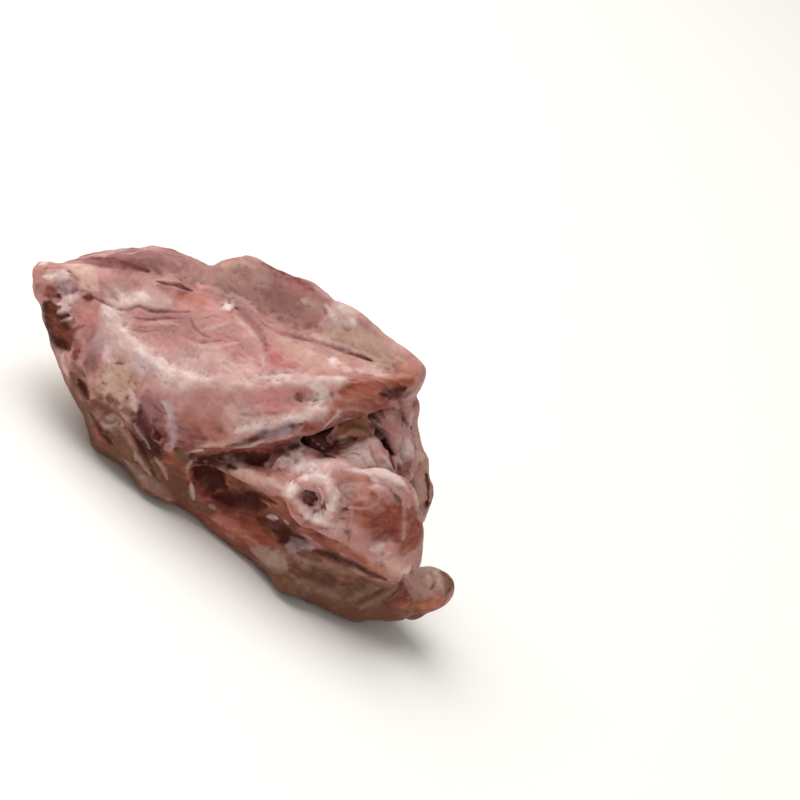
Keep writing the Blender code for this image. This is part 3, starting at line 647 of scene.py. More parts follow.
# Ridges of loose tissue: half thickness in mm, pixel whose flesh gives the depth, mm from there towards the eye,
# and the pixels of the ridge's line
RIDGES = [
    (1.6, (300, 512), 0.4, [(293, 498), (298, 507), (309, 513)]),
    (1.4, (300, 502), 0.8, [(297, 497), (301, 505), (311, 509)]),
    (3.2, (340, 525), -1.6, [(318, 526), (332, 530), (346, 535), (360, 541)]),
    (2.6, (340, 525), 0.0, [(328, 521), (340, 522), (352, 526)]),
    (2.0, (279, 465), -0.2, [(276, 466), (288, 465), (302, 463)]),
    (2.5, (279, 465), -0.8, [(278, 459), (290, 456), (304, 454)]),
    (1.2, (305, 495), 0.0, [(312, 508), (319, 506), (323, 500)]),
    (3.6, (384, 500), -3.5, [(352, 477), (372, 477), (388, 480), (401, 487), (409, 500), (410, 518)]),
    (4.8, (365, 452), -11.0, [(380, 406), (389, 420), (396, 434), (399, 448)]),
    (4.2, (365, 452), -12.5, [(398, 438), (402, 452), (405, 464)]),
    (5.0, (365, 452), -17.0, [(380, 406), (391, 420), (399, 434), (403, 450), (406, 460)]),
    (5.5, (365, 452), -12.0, [(312, 444), (328, 444), (344, 436), (360, 430), (378, 432)]),
    (2.6, (365, 452), -5.0, [(330, 440), (340, 430), (350, 421), (362, 421), (371, 430)]),
    (2.2, (365, 452), -4.0, [(340, 438), (352, 431), (366, 434)]),
    (0.8, (365, 452), -5.0, [(314, 440), (322, 448), (334, 456)]),
    (0.7, (365, 452), -4.0, [(324, 432), (332, 444), (344, 452)]),
]

# How a mark is laid
LINE_STEP = 5  # pixels between the points of its smooth line
COVER = 1.15  # how fully it covers the tissue under it at strength 1
EDGE_FALL, EDGE_POWER = 0.6, 2.5  # how fast and how sharply it ends at its half width
END_TAPER, TAPER_POWER = 0.75, 3  # how much narrower its ends are, and how near the ends that starts
MARK_REACH = 3.5  # half widths out to which it is felt
TURNED_AWAY, TURN_SPAN = -0.25, 0.5  # a point takes it where its normal agrees with the mark's by more
LIP = 0.25  # height of the lips beside a crease, as a share of its depth
LIP_PLACE, LIP_WIDTH = 2.0, 0.8  # in half widths of the crease

# Unevenness of the marks and of the flesh: the share, the size in mm and the seed of each noise
WOBBLE = [(0.45, 4.2, 0), (0.3, 1.5, 7)]  # of a mark's width
STRANDS_LEVEL, STRANDS = 0.9, [(0.5, 1.2, 3)]  # of the strands in a film
FADING_LEVEL, FADING = 0.85, [(0.6, 5.0, 17)]
PATCHES = [(0.3, 3.6, 21), (0.2, 1.4, 23)]
RELIEF = [(0.5, 2.6, 11)]
TONE = [(1, 6, 31), (0.6, 2.4, 33)]
FIBRE_STRETCH = np.array([0.14, 1.0, 1.0])
FOLD_STRETCH = np.array([0.55, 1.0, 1.0])
PALE_TONE, DARK_TONE = 0.35, 0.45  # most film and most mauve in the uneven tone of the flesh

# Where the skin of the back and the lining of the inside start, and over how much they fade in; the skin is laid
# on low faces turned down, and its dark brown there is partly painted shade
SKIN_TOP, SKIN_FADE = 30 * MM, 14 * MM
SKIN_TURN, SKIN_TURN_SPAN = -0.05, 0.4
INSIDE_START, INSIDE_SPAN = 0.55, 0.25
INSIDE_MEAT, INSIDE_BLOOD = 0.9, 0.6
PATCH_SIZE, PATCH_START, PATCH_SPAN = 9 * MM, -0.1, 0.5  # of the blood on the lining

# Relief: the warp of the folds, the cells of the fat, the knots of the films, and the flat base
WARP_SIZE, WARP_RISE, WARP_SEEDS = 6 * MM, 1.6 * MM, (1, 2, 5)
CELL_SIZE, CELL_RISE = 6.5 * MM, 0.8 * MM
KNOT_SIZE, KNOT_RISE = 2.3 * MM, 0.3 * MM
BASE_FADE = 2 * MM

RIDGE_TAPER = 0.35  # how much thinner a ridge's ends are
SMOOTH_SHARE, SMOOTH_ROUNDS = 0.5, 5  # how the fine body's facets are smoothed away

# How walled in a point is: the ways that are looked, from how far above the flesh, and how far
LOOKS = [
    (1, 0, 0.2), (-1, 0, 0.1), (0, 1, 0.1), (0, -1, 0.1), (0.3, 0.2, 1), (-0.4, 0, 1), (0.7, -0.5, 0.5),
    (0, 0.1, -1),
]
LOOK_FROM, LOOK_FAR = 1.2 * MM, 0.08

# Creases and ridges found in the finished shape, for the painted shade in the creases and the painted highlight
# on
# the ridges: the rounds of smoothing, and the depth that counts as full
HOLLOW_ROUNDS, HOLLOW_DEPTH = 5, 0.22 * MM
VALLEY_ROUNDS, VALLEY_DEPTH = 24, 0.8 * MM
OWN_SHARE, NEIGHBOUR_SHARE = 0.3, 0.7  # how much of each place one round keeps, and takes from its neighbours

# How strongly each effect shows in the material
MOTTLING = 0.22
PALE_STREAKS, DARK_STREAKS = 0.12, 0.25
VEINS = 0.3
CREASE_SHADE = 0.5
# Painted highlight: the film colour laid on the ridges
RIDGE_HIGHLIGHT = 0.14
FILM_SHINE = 0.06
WET_COAT = 0.07
FIBRE_TURN = 0.5
VEIN_WARP = (0.012, 0.012, 0.012)
FINE_BUMP, STREAK_BUMP = 0.5, 0.8
BUMP_STRENGTH, BUMP_DEPTH = 0.35, 0.4 * MM

MASKS = {
    "film": ("film", "gristle", "lilac", "keel_film"),
    "fibre": ("muscle", "deep_red", "orange", "rose", "purple"),
    "fat": ("fat",),
}


# Building

def read_places(mesh):
    places = np.empty(len(mesh.vertices) * 3, dtype=np.float32)
    mesh.vertices.foreach_get("co", places)
    return places.reshape(-1, 3).astype(np.float64)


def read_normals(mesh):
    normals = np.empty(len(mesh.vertices) * 3, dtype=np.float32)
    mesh.vertex_normals.foreach_get("vector", normals)
    return normals.reshape(-1, 3).astype(np.float64)


def write_places(mesh, places):
    mesh.vertices.foreach_set("co", places.astype(np.float32).ravel())
    mesh.update()


def tree_of(mesh):
    """A search tree over the mesh's faces."""
    places = [vert.co for vert in mesh.vertices]
    return BVHTree.FromPolygons(places, [tuple(face.vertices) for face in mesh.polygons])


def in_front(pixel, depth):
    """The place on a pixel's sight line that lies a depth in front of the foot point's plane."""
    return EYE + (pixel_place(pixel) - EYE) * (1 - depth / CAMERA_DISTANCE)


def on_near_side(tree, pixel):
    """The point of the flesh that shows at a pixel of the picture."""
    place, normal, _, _ = tree.ray_cast(EYE, pixel_place(pixel) - EYE)
    if place is None:
        place, normal, _, _ = tree.find_nearest(pixel_place(pixel))
    return place, normal


def on_far_side(tree, place):
    """The point of the far flank that answers a point of the near one."""
    mirrored = Vector((place.x, 2 * MIDDLE_Y - place.y, place.z))
    found, normal, _, _ = tree.find_nearest(mirrored)
    return found, normal


def rounded(pixels):
    """A smooth line of close pixels through the given ones."""
    points = np.array(pixels, dtype=float)
    ends = np.vstack([2 * points[0] - points[1], points, 2 * points[-1] - points[-2]])
    line = []
    for before, start, end, after in zip(ends, ends[1:], ends[2:], ends[3:]):
        steps = max(1, round(np.linalg.norm(end - start) / LINE_STEP))
        for share in np.arange(steps) / steps:
            bend = (2 * before - 5 * start + 4 * end - after) * share ** 2
            turn = (3 * start - 3 * end + after - before) * share ** 3
            line.append(start + 0.5 * ((end - before) * share + bend + turn))
    return line + [points[-1]]


def smooth_step(value):
    value = np.clip(value, 0, 1)
    return value * value * (3 - 2 * value)


def along_line(places, line):
    """How far each place is from a line through several points, and how far along it, from 0 to 1."""
    nearest = np.full(len(places), np.inf)
    passed = np.zeros(len(places))
    lengths = np.linalg.norm(np.diff(line, axis=0), axis=1)
    walked = 0.0
    for start, end, step in zip(line, line[1:], lengths):
        along = end - start
        share = np.clip((places - start) @ along / max(along @ along, 1e-12), 0, 1)
        away = np.linalg.norm(places - start - share[:, None] * along, axis=1)
        closer = away < nearest
        nearest[closer] = away[closer]
        passed[closer] = (walked + share[closer] * step) / max(lengths.sum(), 1e-12)
        walked += step
    return nearest, passed


def grain(places, size, seed=0):
    """Smooth noise from -1 to 1, with bumps about one size apart."""
    shifted = places / size + seed
    return np.array([noise.noise(Vector(place)) for place in shifted])


def uneven(places, start, parts):
    """A start value with noise added to it: each part is its share, its size in mm and its seed."""
    total = start
    for share, size, seed in parts:
        total = total + share * grain(places, size * MM, seed)
    return total


def cells(places, size, mask):
    """Rounded cells a size apart, where the mask is set: 1 in their middles and 0 between them."""
    height = np.zeros(len(places))
    for index in np.flatnonzero(mask > 0.05):
        away = noise.voronoi(Vector(places[index] / size))[0]
        height[index] = mask[index] * (1.0 - min(1.0, away[0]) ** 2)
    return height


class Flesh:
    """The fine mesh of the body as arrays: places, normals, colours and masks of its points."""

    def __init__(self, mesh, colours):
        self.mesh = mesh
        self.tree = tree_of(mesh)
        self.places = read_places(mesh)
        self.normals = read_normals(mesh)
        self.palette = {name: np.array(getattr(colours, name)) for name in TISSUES}
        self.colour = np.tile(self.palette["flesh"], (len(self.places), 1))
        self.rise = np.zeros(len(self.places))
        self.masks = {name: np.zeros(len(self.places)) for name in MASKS}
        self.wobble = uneven(self.places, 1, WOBBLE)
        self.strands = np.clip(uneven(self.places * FIBRE_STRETCH, STRANDS_LEVEL, STRANDS), 0, 1)
        self.fading = np.clip(uneven(self.places, FADING_LEVEL, FADING), 0, 1)
        self.patchy = uneven(self.places, 1, PATCHES)
        self.relief = uneven(self.places, 1, RELIEF)

    def blend(self, near, share, tissue):
        """Lays a tissue over the colour of some points, and sets the masks that go with it."""
        self.colour[near] += (self.palette[tissue] - self.colour[near]) * share[:, None]
        for name, tissues in MASKS.items():
            mask = self.masks[name]
            mask[near] += (float(tissue in tissues) - mask[near]) * share

    def lay(self, mark, far=False):
        """Lays one mark on the near side or on the far side."""
        tissue, strength, half_width, rise, *numbers = mark
        hits = [on_near_side(self.tree, pixel) for pixel in rounded(list(zip(numbers[::2], numbers[1::2])))]
        if far:
            hits = [on_far_side(self.tree, place) for place, _ in hits]
        line = np.array([place for place, _ in hits])
        facing = np.array(sum((normal for _, normal in hits), Vector()).normalized())
        reach = half_width * MM
        low = line.min(axis=0) - MARK_REACH * reach
        high = line.max(axis=0) + MARK_REACH * reach
        near = np.flatnonzero(((self.places > low) & (self.places < high)).all(axis=1))
        away, passed = along_line(self.places[near], line)
        taper = 1 - END_TAPER * np.abs(2 * passed - 1) ** TAPER_POWER
        away = away * self.wobble[near] / (reach * taper)
        towards = smooth_step((self.normals[near] @ facing - TURNED_AWAY) / TURN_SPAN)
        share = np.exp(-EDGE_FALL * away ** EDGE_POWER) * towards
        lips = np.exp(-((away - LIP_PLACE) / LIP_WIDTH) ** 2) * towards * LIP
        fading = self.fading[near]
        fibrous = self.strands[near] * fading if tissue in MASKS["film"] else 1.0
        self.blend(near, np.clip(share * strength * fibrous * self.patchy[near] * COVER, 0, 1), tissue)
        profile = share - (lips if rise < 0 else 0)
        self.rise[near] += profile * rise * self.relief[near] * fading * MM


def ridge(tree, build, half, anchor, forward, pixels):
    """Adds a rounded strip of tissue along a line of pixels, as balls close together."""
    depth = (on_near_side(tree, anchor)[0] - AIM).dot(BACK) + forward * MM
    line = rounded(pixels)
    for number, pixel in enumerate(line):
        place = in_front(pixel, depth)
        ends = abs(2 * number / (len(line) - 1) - 1)
        radius = half * MM * (1 - RIDGE_TAPER * ends ** TAPER_POWER)
        bmesh.ops.create_icosphere(build, subdivisions=2, radius=radius, matrix=Matrix.Translation(place))


def fine_copy(sizes):
    """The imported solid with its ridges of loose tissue, as an even fine mesh with its facets smoothed away."""
    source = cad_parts[NODE].data
    tree = tree_of(source)
    build = bmesh.new()
    build.from_mesh(source)
    for given in RIDGES:
        ridge(tree, build, *given)
    mesh = bpy.data.meshes.new("carcass_flesh")
    build.to_mesh(mesh)
    build.free()
    piece = bpy.data.objects.new("carcass_flesh", mesh)
    bpy.context.scene.collection.objects.link(piece)
    remesh = piece.modifiers.new("fine", "REMESH")
    remesh.mode = "VOXEL"
    remesh.voxel_size = sizes.grain
    smooth = piece.modifiers.new("smooth", "SMOOTH")
    smooth.factor = SMOOTH_SHARE
    smooth.iterations = SMOOTH_ROUNDS
    apply_modifiers(piece)
    return piece


def apply_modifiers(piece):
    """Gives the piece the mesh that its modifiers make, and clears them."""
    bpy.context.view_layer.update()
    graph = bpy.context.evaluated_depsgraph_get()
    mesh = bpy.data.meshes.new_from_object(
        piece.evaluated_get(graph), preserve_all_data_layers=True, depsgraph=graph,
    )
    old = piece.data
    piece.modifiers.clear()
    piece.data = mesh
    bpy.data.meshes.remove(old)


def closeness(flesh):
    """How walled in each point is, from 0 in the open to 1 deep in the body."""
    start = flesh.places + flesh.normals * LOOK_FROM
    cast = tree_of(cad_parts[NODE].data).ray_cast
    hits = np.zeros(len(start))
    for look in LOOKS:
        direction = Vector(look).normalized()
        hits += np.array([cast(Vector(place), direction, LOOK_FAR)[0] is not None for place in start])
    return hits / len(LOOKS)


def blocks(flesh, most):
    """The faces of the fine body in blocks along its length, each with fewer faces than a piece may have."""
    faces = np.empty(len(flesh.mesh.polygons) * 4, dtype=np.int32)
    flesh.mesh.polygons.foreach_get("vertices", faces)
    faces = faces.reshape(-1, 4)
    order = np.argsort(flesh.places[faces[:, 0], 0], kind="stable")
    return [faces[part] for part in np.array_split(order, math.ceil(len(faces) / most))]


def block(name, faces, flesh):
    """One block of the fine body, shaded as a part of the whole."""
    used, corners = np.unique(faces, return_inverse=True)
    mesh = bpy.data.meshes.new(name)
    mesh.vertices.add(len(used))
    mesh.vertices.foreach_set("co", flesh.places[used].astype(np.float32).ravel())
    mesh.loops.add(faces.size)
    mesh.loops.foreach_set("vertex_index", corners.ravel().astype(np.int32))
    mesh.polygons.add(len(faces))
    mesh.polygons.foreach_set("loop_start", np.arange(0, faces.size, 4, dtype=np.int32))
    mesh.update(calc_edges=True)
    mesh.shade_smooth()
    mesh.normals_split_custom_set_from_vertices(flesh.normals[used])
    set_colour(mesh, "tissue", flesh.colour[used])
    for mask, values in flesh.masks.items():
        set_attribute(mesh, mask, values[used])
    piece = bpy.data.objects.new(name, mesh)
    bpy.context.scene.collection.objects.link(piece)
    return piece


def set_attribute(mesh, name, values):
    attribute = mesh.attributes.new(name, "FLOAT", "POINT")
    attribute.data.foreach_set("value", values.astype(np.float32))


def set_colour(mesh, name, values):
    attribute = mesh.attributes.new(name, "FLOAT_COLOR", "POINT")
    full = np.ones((len(values), 4), dtype=np.float32)
    full[:, :3] = values
    attribute.data.foreach_set("color", full.ravel())


def hollowness(mesh, places, normals, rounds, depth):
    """Positive in creases and negative on ridges, 1 where smoothing would fill the crease by the depth."""
    edges = np.empty(len(mesh.edges) * 2, dtype=np.int32)
    mesh.edges.foreach_get("vertices", edges)
    edges = edges.reshape(-1, 2)
    count = np.bincount(edges.ravel(), minlength=len(places))[:, None]
    soft = places.copy()
    for _ in range(rounds):
        total = np.zeros_like(soft)
        for axis in range(3):
            total[:, axis] += np.bincount(edges[:, 0], soft[edges[:, 1], axis], len(places))
            total[:, axis] += np.bincount(edges[:, 1], soft[edges[:, 0], axis], len(places))
        soft = soft * OWN_SHARE + NEIGHBOUR_SHARE * total / np.maximum(count, 1)
    return np.clip(((soft - places) * normals).sum(axis=1) / depth, -1, 1)


def shade(piece, material):
    piece.data.materials.clear()
    piece.data.materials.append(material)
    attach(piece, BODY)


# Materials

VECTOR, COLOUR, NUMBER = "NodeSocketVector", "NodeSocketColor", "NodeSocketFloat"


def new_group(name, inputs, outputs):
    """An empty shader node group with its sockets."""
    group = bpy.data.node_groups.new(name, "ShaderNodeTree")
    for label, kind, default in inputs:
        socket = group.interface.new_socket(label, in_out="INPUT", socket_type=kind)
        if default is not None:
            socket.default_value = default
    for label, kind in outputs:
        group.interface.new_socket(label, in_out="OUTPUT", socket_type=kind)
    return group


def ensure(name, build):
    """The group of that name, built once."""
    return bpy.data.node_groups.get(name) or build(name)


class Nodes:
    """A short way to add nodes to a tree and to link them."""

    def __init__(self, tree):
        self.tree = tree

    def add(self, kind, values=None, **settings):
        """A node with its settings, each input linked to a socket or set to a value."""
        node = self.tree.nodes.new(kind)
        for key, value in settings.items():
            setattr(node, key, value)
        for key, value in (values or {}).items():
            if isinstance(value, bpy.types.NodeSocket):
                self.tree.links.new(value, node.inputs[key])
            else:
                node.inputs[key].default_value = value
        return node

    def mix(self, factor, first, second, blend="MIX"):
        """The mix of two colours, each a socket or a colour; inputs 6 and 7 are those of the RGBA mix."""
        first, second = [
            given if isinstance(given, bpy.types.NodeSocket) else (*given, 1.0) for given in (first, second)
        ]
        values = {0: factor, 6: first, 7: second}
        return self.add("ShaderNodeMix", values, data_type="RGBA", blend_type=blend).outputs[2]

    def maths(self, operation, first, second=0.0, clamp=False):
        values = {0: first, 1: second}
        return self.add("ShaderNodeMath", values, operation=operation, use_clamp=clamp).outputs[0]

    def ramp(self, value, low, high, to_low=0.0, to_high=1.0):
        """The value stretched from one range to another."""
        values = {"Value": value, "From Min": low, "From Max": high, "To Min": to_low, "To Max": to_high}
        return self.add("ShaderNodeMapRange", values).outputs["Result"]

    def noise(self, vector, scale, detail, roughness=0.5, distortion=0.0):
        values = {
            "Vector": vector, "Scale": scale, "Detail": detail, "Roughness": roughness, "Distortion": distortion,
        }
        return self.add("ShaderNodeTexNoise", values)


def mottle_group(name):
    """Uneven colour of raw meat: paler and redder patches, and the finest red specks."""
    group = new_group(
        name,
        [("Vector", VECTOR, None), ("Colour", COLOUR, None), ("Red", COLOUR, None), ("Amount", NUMBER, 0.5)],
        [("Colour", COLOUR), ("Height", NUMBER)],
    )
    n = Nodes(group)
    given = n.add("NodeGroupInput").outputs
    large = n.noise(given["Vector"], 160.0, 4.0, 0.6, 0.6).outputs["Fac"]
    small = n.noise(given["Vector"], 620.0, 3.0, 0.65).outputs["Fac"]
    red = n.maths("MULTIPLY", n.ramp(large, 0.52, 0.72), given["Amount"])
    pale = n.maths("MULTIPLY", n.ramp(large, 0.47, 0.28), given["Amount"])
    speck = n.maths("MULTIPLY", n.ramp(small, 0.55, 0.75), given["Amount"])
    mottled = n.mix(red, given["Colour"], given["Red"])
    mottled = n.mix(pale, mottled, given["Colour"], "ADD")
    mottled = n.mix(n.maths("MULTIPLY", speck, 0.5), mottled, given["Red"])
    n.add("NodeGroupOutput", {"Colour": mottled, "Height": small})
    return group


def fibre_group(name):
    """Streaks along the meat's fibres, as a mask from 0 to 1."""
    group = new_group(
        name,
        [("Vector", VECTOR, None), ("Along", NUMBER, 90.0), ("Across", NUMBER, 520.0), ("Turn", NUMBER, 0.0)],
        [("Mask", NUMBER)],
    )
    n = Nodes(group)
    given = n.add("NodeGroupInput").outputs
    turn = {"Vector": given["Vector"], "Angle": given["Turn"]}
    turned = n.add("ShaderNodeVectorRotate", turn, rotation_type="Y_AXIS")
    scale = n.add("ShaderNodeCombineXYZ", {"X": given["Along"], "Y": given["Across"], "Z": given["Across"]})
    scaled = n.add("ShaderNodeVectorMath", {0: turned.outputs[0], 1: scale.outputs[0]}, operation="MULTIPLY")
    n.add("NodeGroupOutput", {"Mask": n.noise(scaled.outputs[0], 1.0, 3.0, 0.6, 0.4).outputs["Fac"]})
    return group


def damp_group(name):
    """Where the surface is wet: low roughness in puddles and smears."""
    group = new_group(
        name,
        [("Vector", VECTOR, None), ("Dry", NUMBER, 0.5), ("Wet", NUMBER, 0.3)],
        [("Roughness", NUMBER), ("Coat", NUMBER)],
    )
    n = Nodes(group)
    given = n.add("NodeGroupInput").outputs
    wet = n.ramp(n.noise(given["Vector"], 210.0, 3.0, 0.55).outputs["Fac"], 0.4, 0.62)
    spread = n.maths("SUBTRACT", given["Dry"], given["Wet"])
    rough = n.maths("SUBTRACT", given["Dry"], n.maths("MULTIPLY", wet, spread))
    n.add("NodeGroupOutput", {"Roughness": rough, "Coat": wet})
    return group


def vein_group(name):
    """A loose net of thin vessels, as a mask from 0 to 1."""
    group = new_group(
        name,
        [("Vector", VECTOR, None), ("Size", NUMBER, 70.0), ("Width", NUMBER, 0.03)],
        [("Mask", NUMBER)],
    )
    n = Nodes(group)
    given = n.add("NodeGroupInput").outputs
    warp = n.noise(given["Vector"], 180.0, 2.0).outputs["Color"]
    push = n.add("ShaderNodeVectorMath", {0: warp, 1: VEIN_WARP}, operation="MULTIPLY")
    warped = n.add("ShaderNodeVectorMath", {0: given["Vector"], 1: push.outputs[0]}, operation="ADD")
    net = {"Vector": warped.outputs[0], "Scale": given["Size"]}
    edge = n.add("ShaderNodeTexVoronoi", net, feature="DISTANCE_TO_EDGE").outputs["Distance"]
    line = n.maths("DIVIDE", edge, given["Width"], clamp=True)
    breaks = n.ramp(n.noise(given["Vector"], 120.0, 1.0).outputs["Fac"], 0.5, 0.65)
    n.add("NodeGroupOutput", {"Mask": n.maths("MULTIPLY", n.maths("SUBTRACT", 1.0, line), breaks)})
    return group


SHADER_VALUES = {
    "Subsurface Weight": 0.12, "Subsurface Radius": (1.0, 0.36, 0.22), "Subsurface Scale": 0.003,
    "Coat Roughness": 0.16, "Specular IOR Level": 0.05,
}


def flesh_material(colours):
    """Raw meat under films: the colour laid by the marks, with mottling, fibres, vessels and damp on it, painted
    shade in its creases and a painted highlight on its ridges.
    """
    material = bpy.data.materials.new("raw_flesh_fine")
    material.use_nodes = True
    tree = material.node_tree
    n = Nodes(tree)
    shader = tree.nodes["Principled BSDF"]
    for name, value in SHADER_VALUES.items():
        shader.inputs[name].default_value = value

    def kept(name, output="Fac"):
        return n.add("ShaderNodeAttribute", attribute_name=name).outputs[output]

    def effect(name, build, **values):
        return n.add("ShaderNodeGroup", {"Vector": place, **values}, node_tree=ensure(name, build)).outputs

    place = n.add("ShaderNodeTexCoord").outputs["Object"]
    fibre, hollow = kept("fibre"), kept("hollow")
    mottle = effect(
        "meat_mottle", mottle_group, Colour=kept("tissue", "Color"), Red=(*colours.deep_red, 1), Amount=MOTTLING,
    )
    streak = effect("meat_fibre", fibre_group, Turn=FIBRE_TURN)["Mask"]
    vein = effect("meat_vein", vein_group)["Mask"]
    damp = effect("meat_damp", damp_group)
    streaks = n.maths("MULTIPLY", n.ramp(streak, 0.5, 0.7), fibre)
    dark_streaks = n.maths("MULTIPLY", n.ramp(streak, 0.5, 0.32), fibre)
    layered = mottle["Colour"]
    for share, tint in (
        (n.maths("MULTIPLY", streaks, PALE_STREAKS), colours.film),
        (n.maths("MULTIPLY", dark_streaks, DARK_STREAKS), colours.dark_meat),
        (n.maths("MULTIPLY", vein, VEINS), colours.deep_red),
        # Painted shade: dark meat colour laid in the creases; painted highlight: film colour laid on the ridges
        (n.ramp(kept("valley"), 0.15, 1.0, 0.0, CREASE_SHADE), colours.dark_meat),
        (n.ramp(hollow, 0.1, 0.9, 0.0, CREASE_SHADE), colours.dark_meat),
        (n.ramp(hollow, -0.15, -0.9, 0.0, RIDGE_HIGHLIGHT), colours.film),
    ):
        layered = n.mix(share, layered, tint)
    tree.links.new(layered, shader.inputs["Base Color"])
    rough = n.maths("SUBTRACT", damp["Roughness"], n.maths("MULTIPLY", kept("film"), FILM_SHINE))
    tree.links.new(rough, shader.inputs["Roughness"])
    tree.links.new(n.maths("MULTIPLY", damp["Coat"], WET_COAT), shader.inputs["Coat Weight"])
    fine, ribbed = n.maths("MULTIPLY", mottle["Height"], FINE_BUMP), n.maths("MULTIPLY", streaks, STREAK_BUMP)
    bump = n.add("ShaderNodeBump", {
        "Height": n.maths("ADD", fine, ribbed), "Strength": BUMP_STRENGTH, "Distance": BUMP_DEPTH,
    })
    tree.links.new(bump.outputs["Normal"], shader.inputs["Normal"])
    return material


# Operators

class CarcassOperator:
    """What every operator here shares."""

    bl_options = {"REGISTER", "UNDO"}

    @property
    def sizes(self):
        return bpy.context.scene.carcass_sizes

    @property
    def colours(self):
        return bpy.context.scene.tissue_colours


class CARCASS_OT_flesh(CarcassOperator, bpy.types.Operator):
    """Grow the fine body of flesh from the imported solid, lay the marks on it and colour it"""

    bl_idname = "carcass.flesh"
    bl_label = "Flesh"

    def execute(self, context):
        sizes = self.sizes
        whole = fine_copy(sizes)
        flesh = Flesh(whole.data, self.colours)
        self.base_coat(flesh)
        for mark in chain(*BOTH_SIDES):
            flesh.lay(mark, far=True)
        for mark in chain(*BOTH_SIDES, VENT_MARKS):
            flesh.lay(mark)
        self.roughen(flesh, sizes)
        write_places(whole.data, flesh.places)
        flesh.normals = read_normals(whole.data)
        shape = whole.data, flesh.places, flesh.normals
        flesh.masks["hollow"] = hollowness(*shape, HOLLOW_ROUNDS, HOLLOW_DEPTH)
        flesh.masks["valley"] = hollowness(*shape, VALLEY_ROUNDS, VALLEY_DEPTH)
        material = flesh_material(self.colours)
        for number, faces in enumerate(blocks(flesh, sizes.block_faces)):
            piece = block(f"flesh_{number + 1}", faces, flesh)
            shade(piece, material)
            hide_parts(NODE)
        bpy.data.objects.remove(whole)
        return {"FINISHED"}

    def base_coat(self, flesh):
        """The large fields of colour: the back, its dark skin partly painted shade where it faces down, and the
        inside of the body.
        """
        everywhere = np.arange(len(flesh.places))
        height = flesh.places[:, 2]
        down = -flesh.normals[:, 2]
        tone = uneven(flesh.places, 0, TONE)
        flesh.blend(everywhere, smooth_step(tone) * PALE_TONE, "film")
        flesh.blend(everywhere, smooth_step(-tone) * DARK_TONE, "mauve")
        # Painted shade: the dark skin colour laid on low faces that turn down, partly the real skin of the back
        under = smooth_step((down - SKIN_TURN) / SKIN_TURN_SPAN) * smooth_step((SKIN_TOP - height) / SKIN_FADE)
        flesh.blend(everywhere, under, "skin")
        inside = smooth_step((closeness(flesh) - INSIDE_START) / INSIDE_SPAN)
        flesh.blend(everywhere, inside * INSIDE_MEAT, "muscle")
        patches = smooth_step((grain(flesh.places, PATCH_SIZE, 3) - PATCH_START) / PATCH_SPAN)
        flesh.blend(everywhere, inside * patches * INSIDE_BLOOD, "deep_red")

    def roughen(self, flesh, sizes):
        """Raises the marks, the soft lumps, the small folds, the fat's grains and the grain of the flesh."""
        places = flesh.places
        lumps = grain(places, sizes.lump_size) * sizes.lump_rise
        warped = places + np.column_stack([grain(places, WARP_SIZE, seed) for seed in WARP_SEEDS]) * WARP_RISE
        folds = (0.5 - np.abs(grain(warped * FOLD_STRETCH, sizes.fold_size, 4))) * sizes.fold_rise
        pores = grain(places, sizes.pore_size, 9) * sizes.pore_rise
        grains = cells(warped, CELL_SIZE, flesh.masks["fat"]) * CELL_RISE
        knots = grain(places, KNOT_SIZE, 13) * flesh.masks["film"] * KNOT_RISE
        flat = smooth_step(places[:, 2] / BASE_FADE)
        rise = (flesh.rise + lumps + folds + pores + grains + knots) * flat
        flesh.places = places + flesh.normals * rise[:, None]


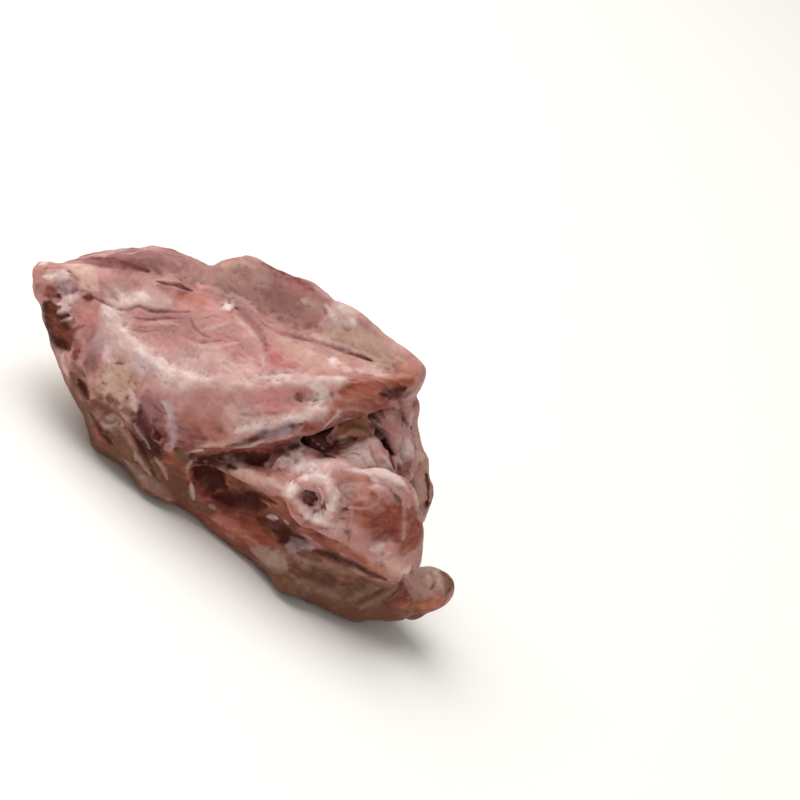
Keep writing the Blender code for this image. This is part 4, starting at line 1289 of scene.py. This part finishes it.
class CARCASS_OT_stage(CarcassOperator, bpy.types.Operator):
    """Make the pale floor, the soft studio light and the camera of the picture"""

    bl_idname = "carcass.stage"
    bl_label = "Stage"

    def execute(self, context):
        self.floor()
        self.world()
        for lamp in LAMPS:
            self.light(*lamp)
        self.camera()
        return {"FINISHED"}

    def floor(self):
        bpy.ops.mesh.primitive_plane_add(size=FLOOR_SIDE, location=(0, 0, -FLOOR_DROP))
        floor = bpy.context.object
        floor.name = "floor"
        material = bpy.data.materials.new("pale_floor")
        material.use_nodes = True
        n = Nodes(material.node_tree)
        shader = material.node_tree.nodes["Principled BSDF"]
        cloud = n.add("ShaderNodeTexNoise", {"Scale": 3.0, "Detail": 2.0})
        tone = n.mix(cloud.outputs["Fac"], *FLOOR_TONES)
        material.node_tree.links.new(tone, shader.inputs["Base Color"])
        shader.inputs["Roughness"].default_value = FLOOR_ROUGHNESS
        floor.data.materials.append(material)

    def world(self):
        world = bpy.data.worlds.new("studio")
        world.use_nodes = True
        background = world.node_tree.nodes["Background"]
        background.inputs["Color"].default_value = SKY_COLOUR
        background.inputs["Strength"].default_value = SKY_STRENGTH
        bpy.context.scene.world = world
        bpy.context.scene.view_settings.view_transform = "Standard"

    def light(self, name, direction, size, power):
        data = bpy.data.lights.new(name, "AREA")
        data.size = size
        data.energy = power
        lamp = bpy.data.objects.new(name, data)
        lamp.location = Vector(direction).normalized() * LAMP_DISTANCE
        lamp.rotation_euler = (-lamp.location).to_track_quat("-Z", "Y").to_euler()
        bpy.context.scene.collection.objects.link(lamp)

    def camera(self):
        data = bpy.data.cameras.new("camera")
        data.angle = 2 * math.atan(PICTURE_SIDE / 2 * PIXEL_MM * MM / CAMERA_DISTANCE)
        camera = bpy.data.objects.new("camera", data)
        turn = Matrix((RIGHT, UP, BACK)).transposed().to_4x4()
        camera.matrix_world = Matrix.Translation(EYE) @ turn
        bpy.context.scene.collection.objects.link(camera)
        bpy.context.scene.camera = camera


class CARCASS_PT_panel(bpy.types.Panel):
    """The steps that build the carcass, and its sizes and colours"""

    bl_label = "Chicken carcass"
    bl_idname = "CARCASS_PT_panel"
    bl_space_type = "VIEW_3D"
    bl_region_type = "UI"
    bl_category = "Carcass"

    def draw(self, context):
        for operator in OPERATORS:
            self.layout.operator(operator.bl_idname)
        for group in (context.scene.carcass_sizes, context.scene.tissue_colours):
            box = self.layout.box()
            for name in group.__annotations__:
                box.prop(group, name)


OPERATORS = [CARCASS_OT_flesh, CARCASS_OT_stage]
CLASSES = [CarcassSizes, TissueColours, *OPERATORS, CARCASS_PT_panel]


def register():
    for cls in CLASSES:
        bpy.utils.register_class(cls)
    bpy.types.Scene.carcass_sizes = PointerProperty(type=CarcassSizes)
    bpy.types.Scene.tissue_colours = PointerProperty(type=TissueColours)


def unregister():
    del bpy.types.Scene.carcass_sizes
    del bpy.types.Scene.tissue_colours
    for cls in reversed(CLASSES):
        bpy.utils.unregister_class(cls)


def main():
    """Builds every piece."""
    register()
    bpy.ops.carcass.flesh()
    bpy.ops.carcass.stage()


if __name__ == "__main__":
    main()
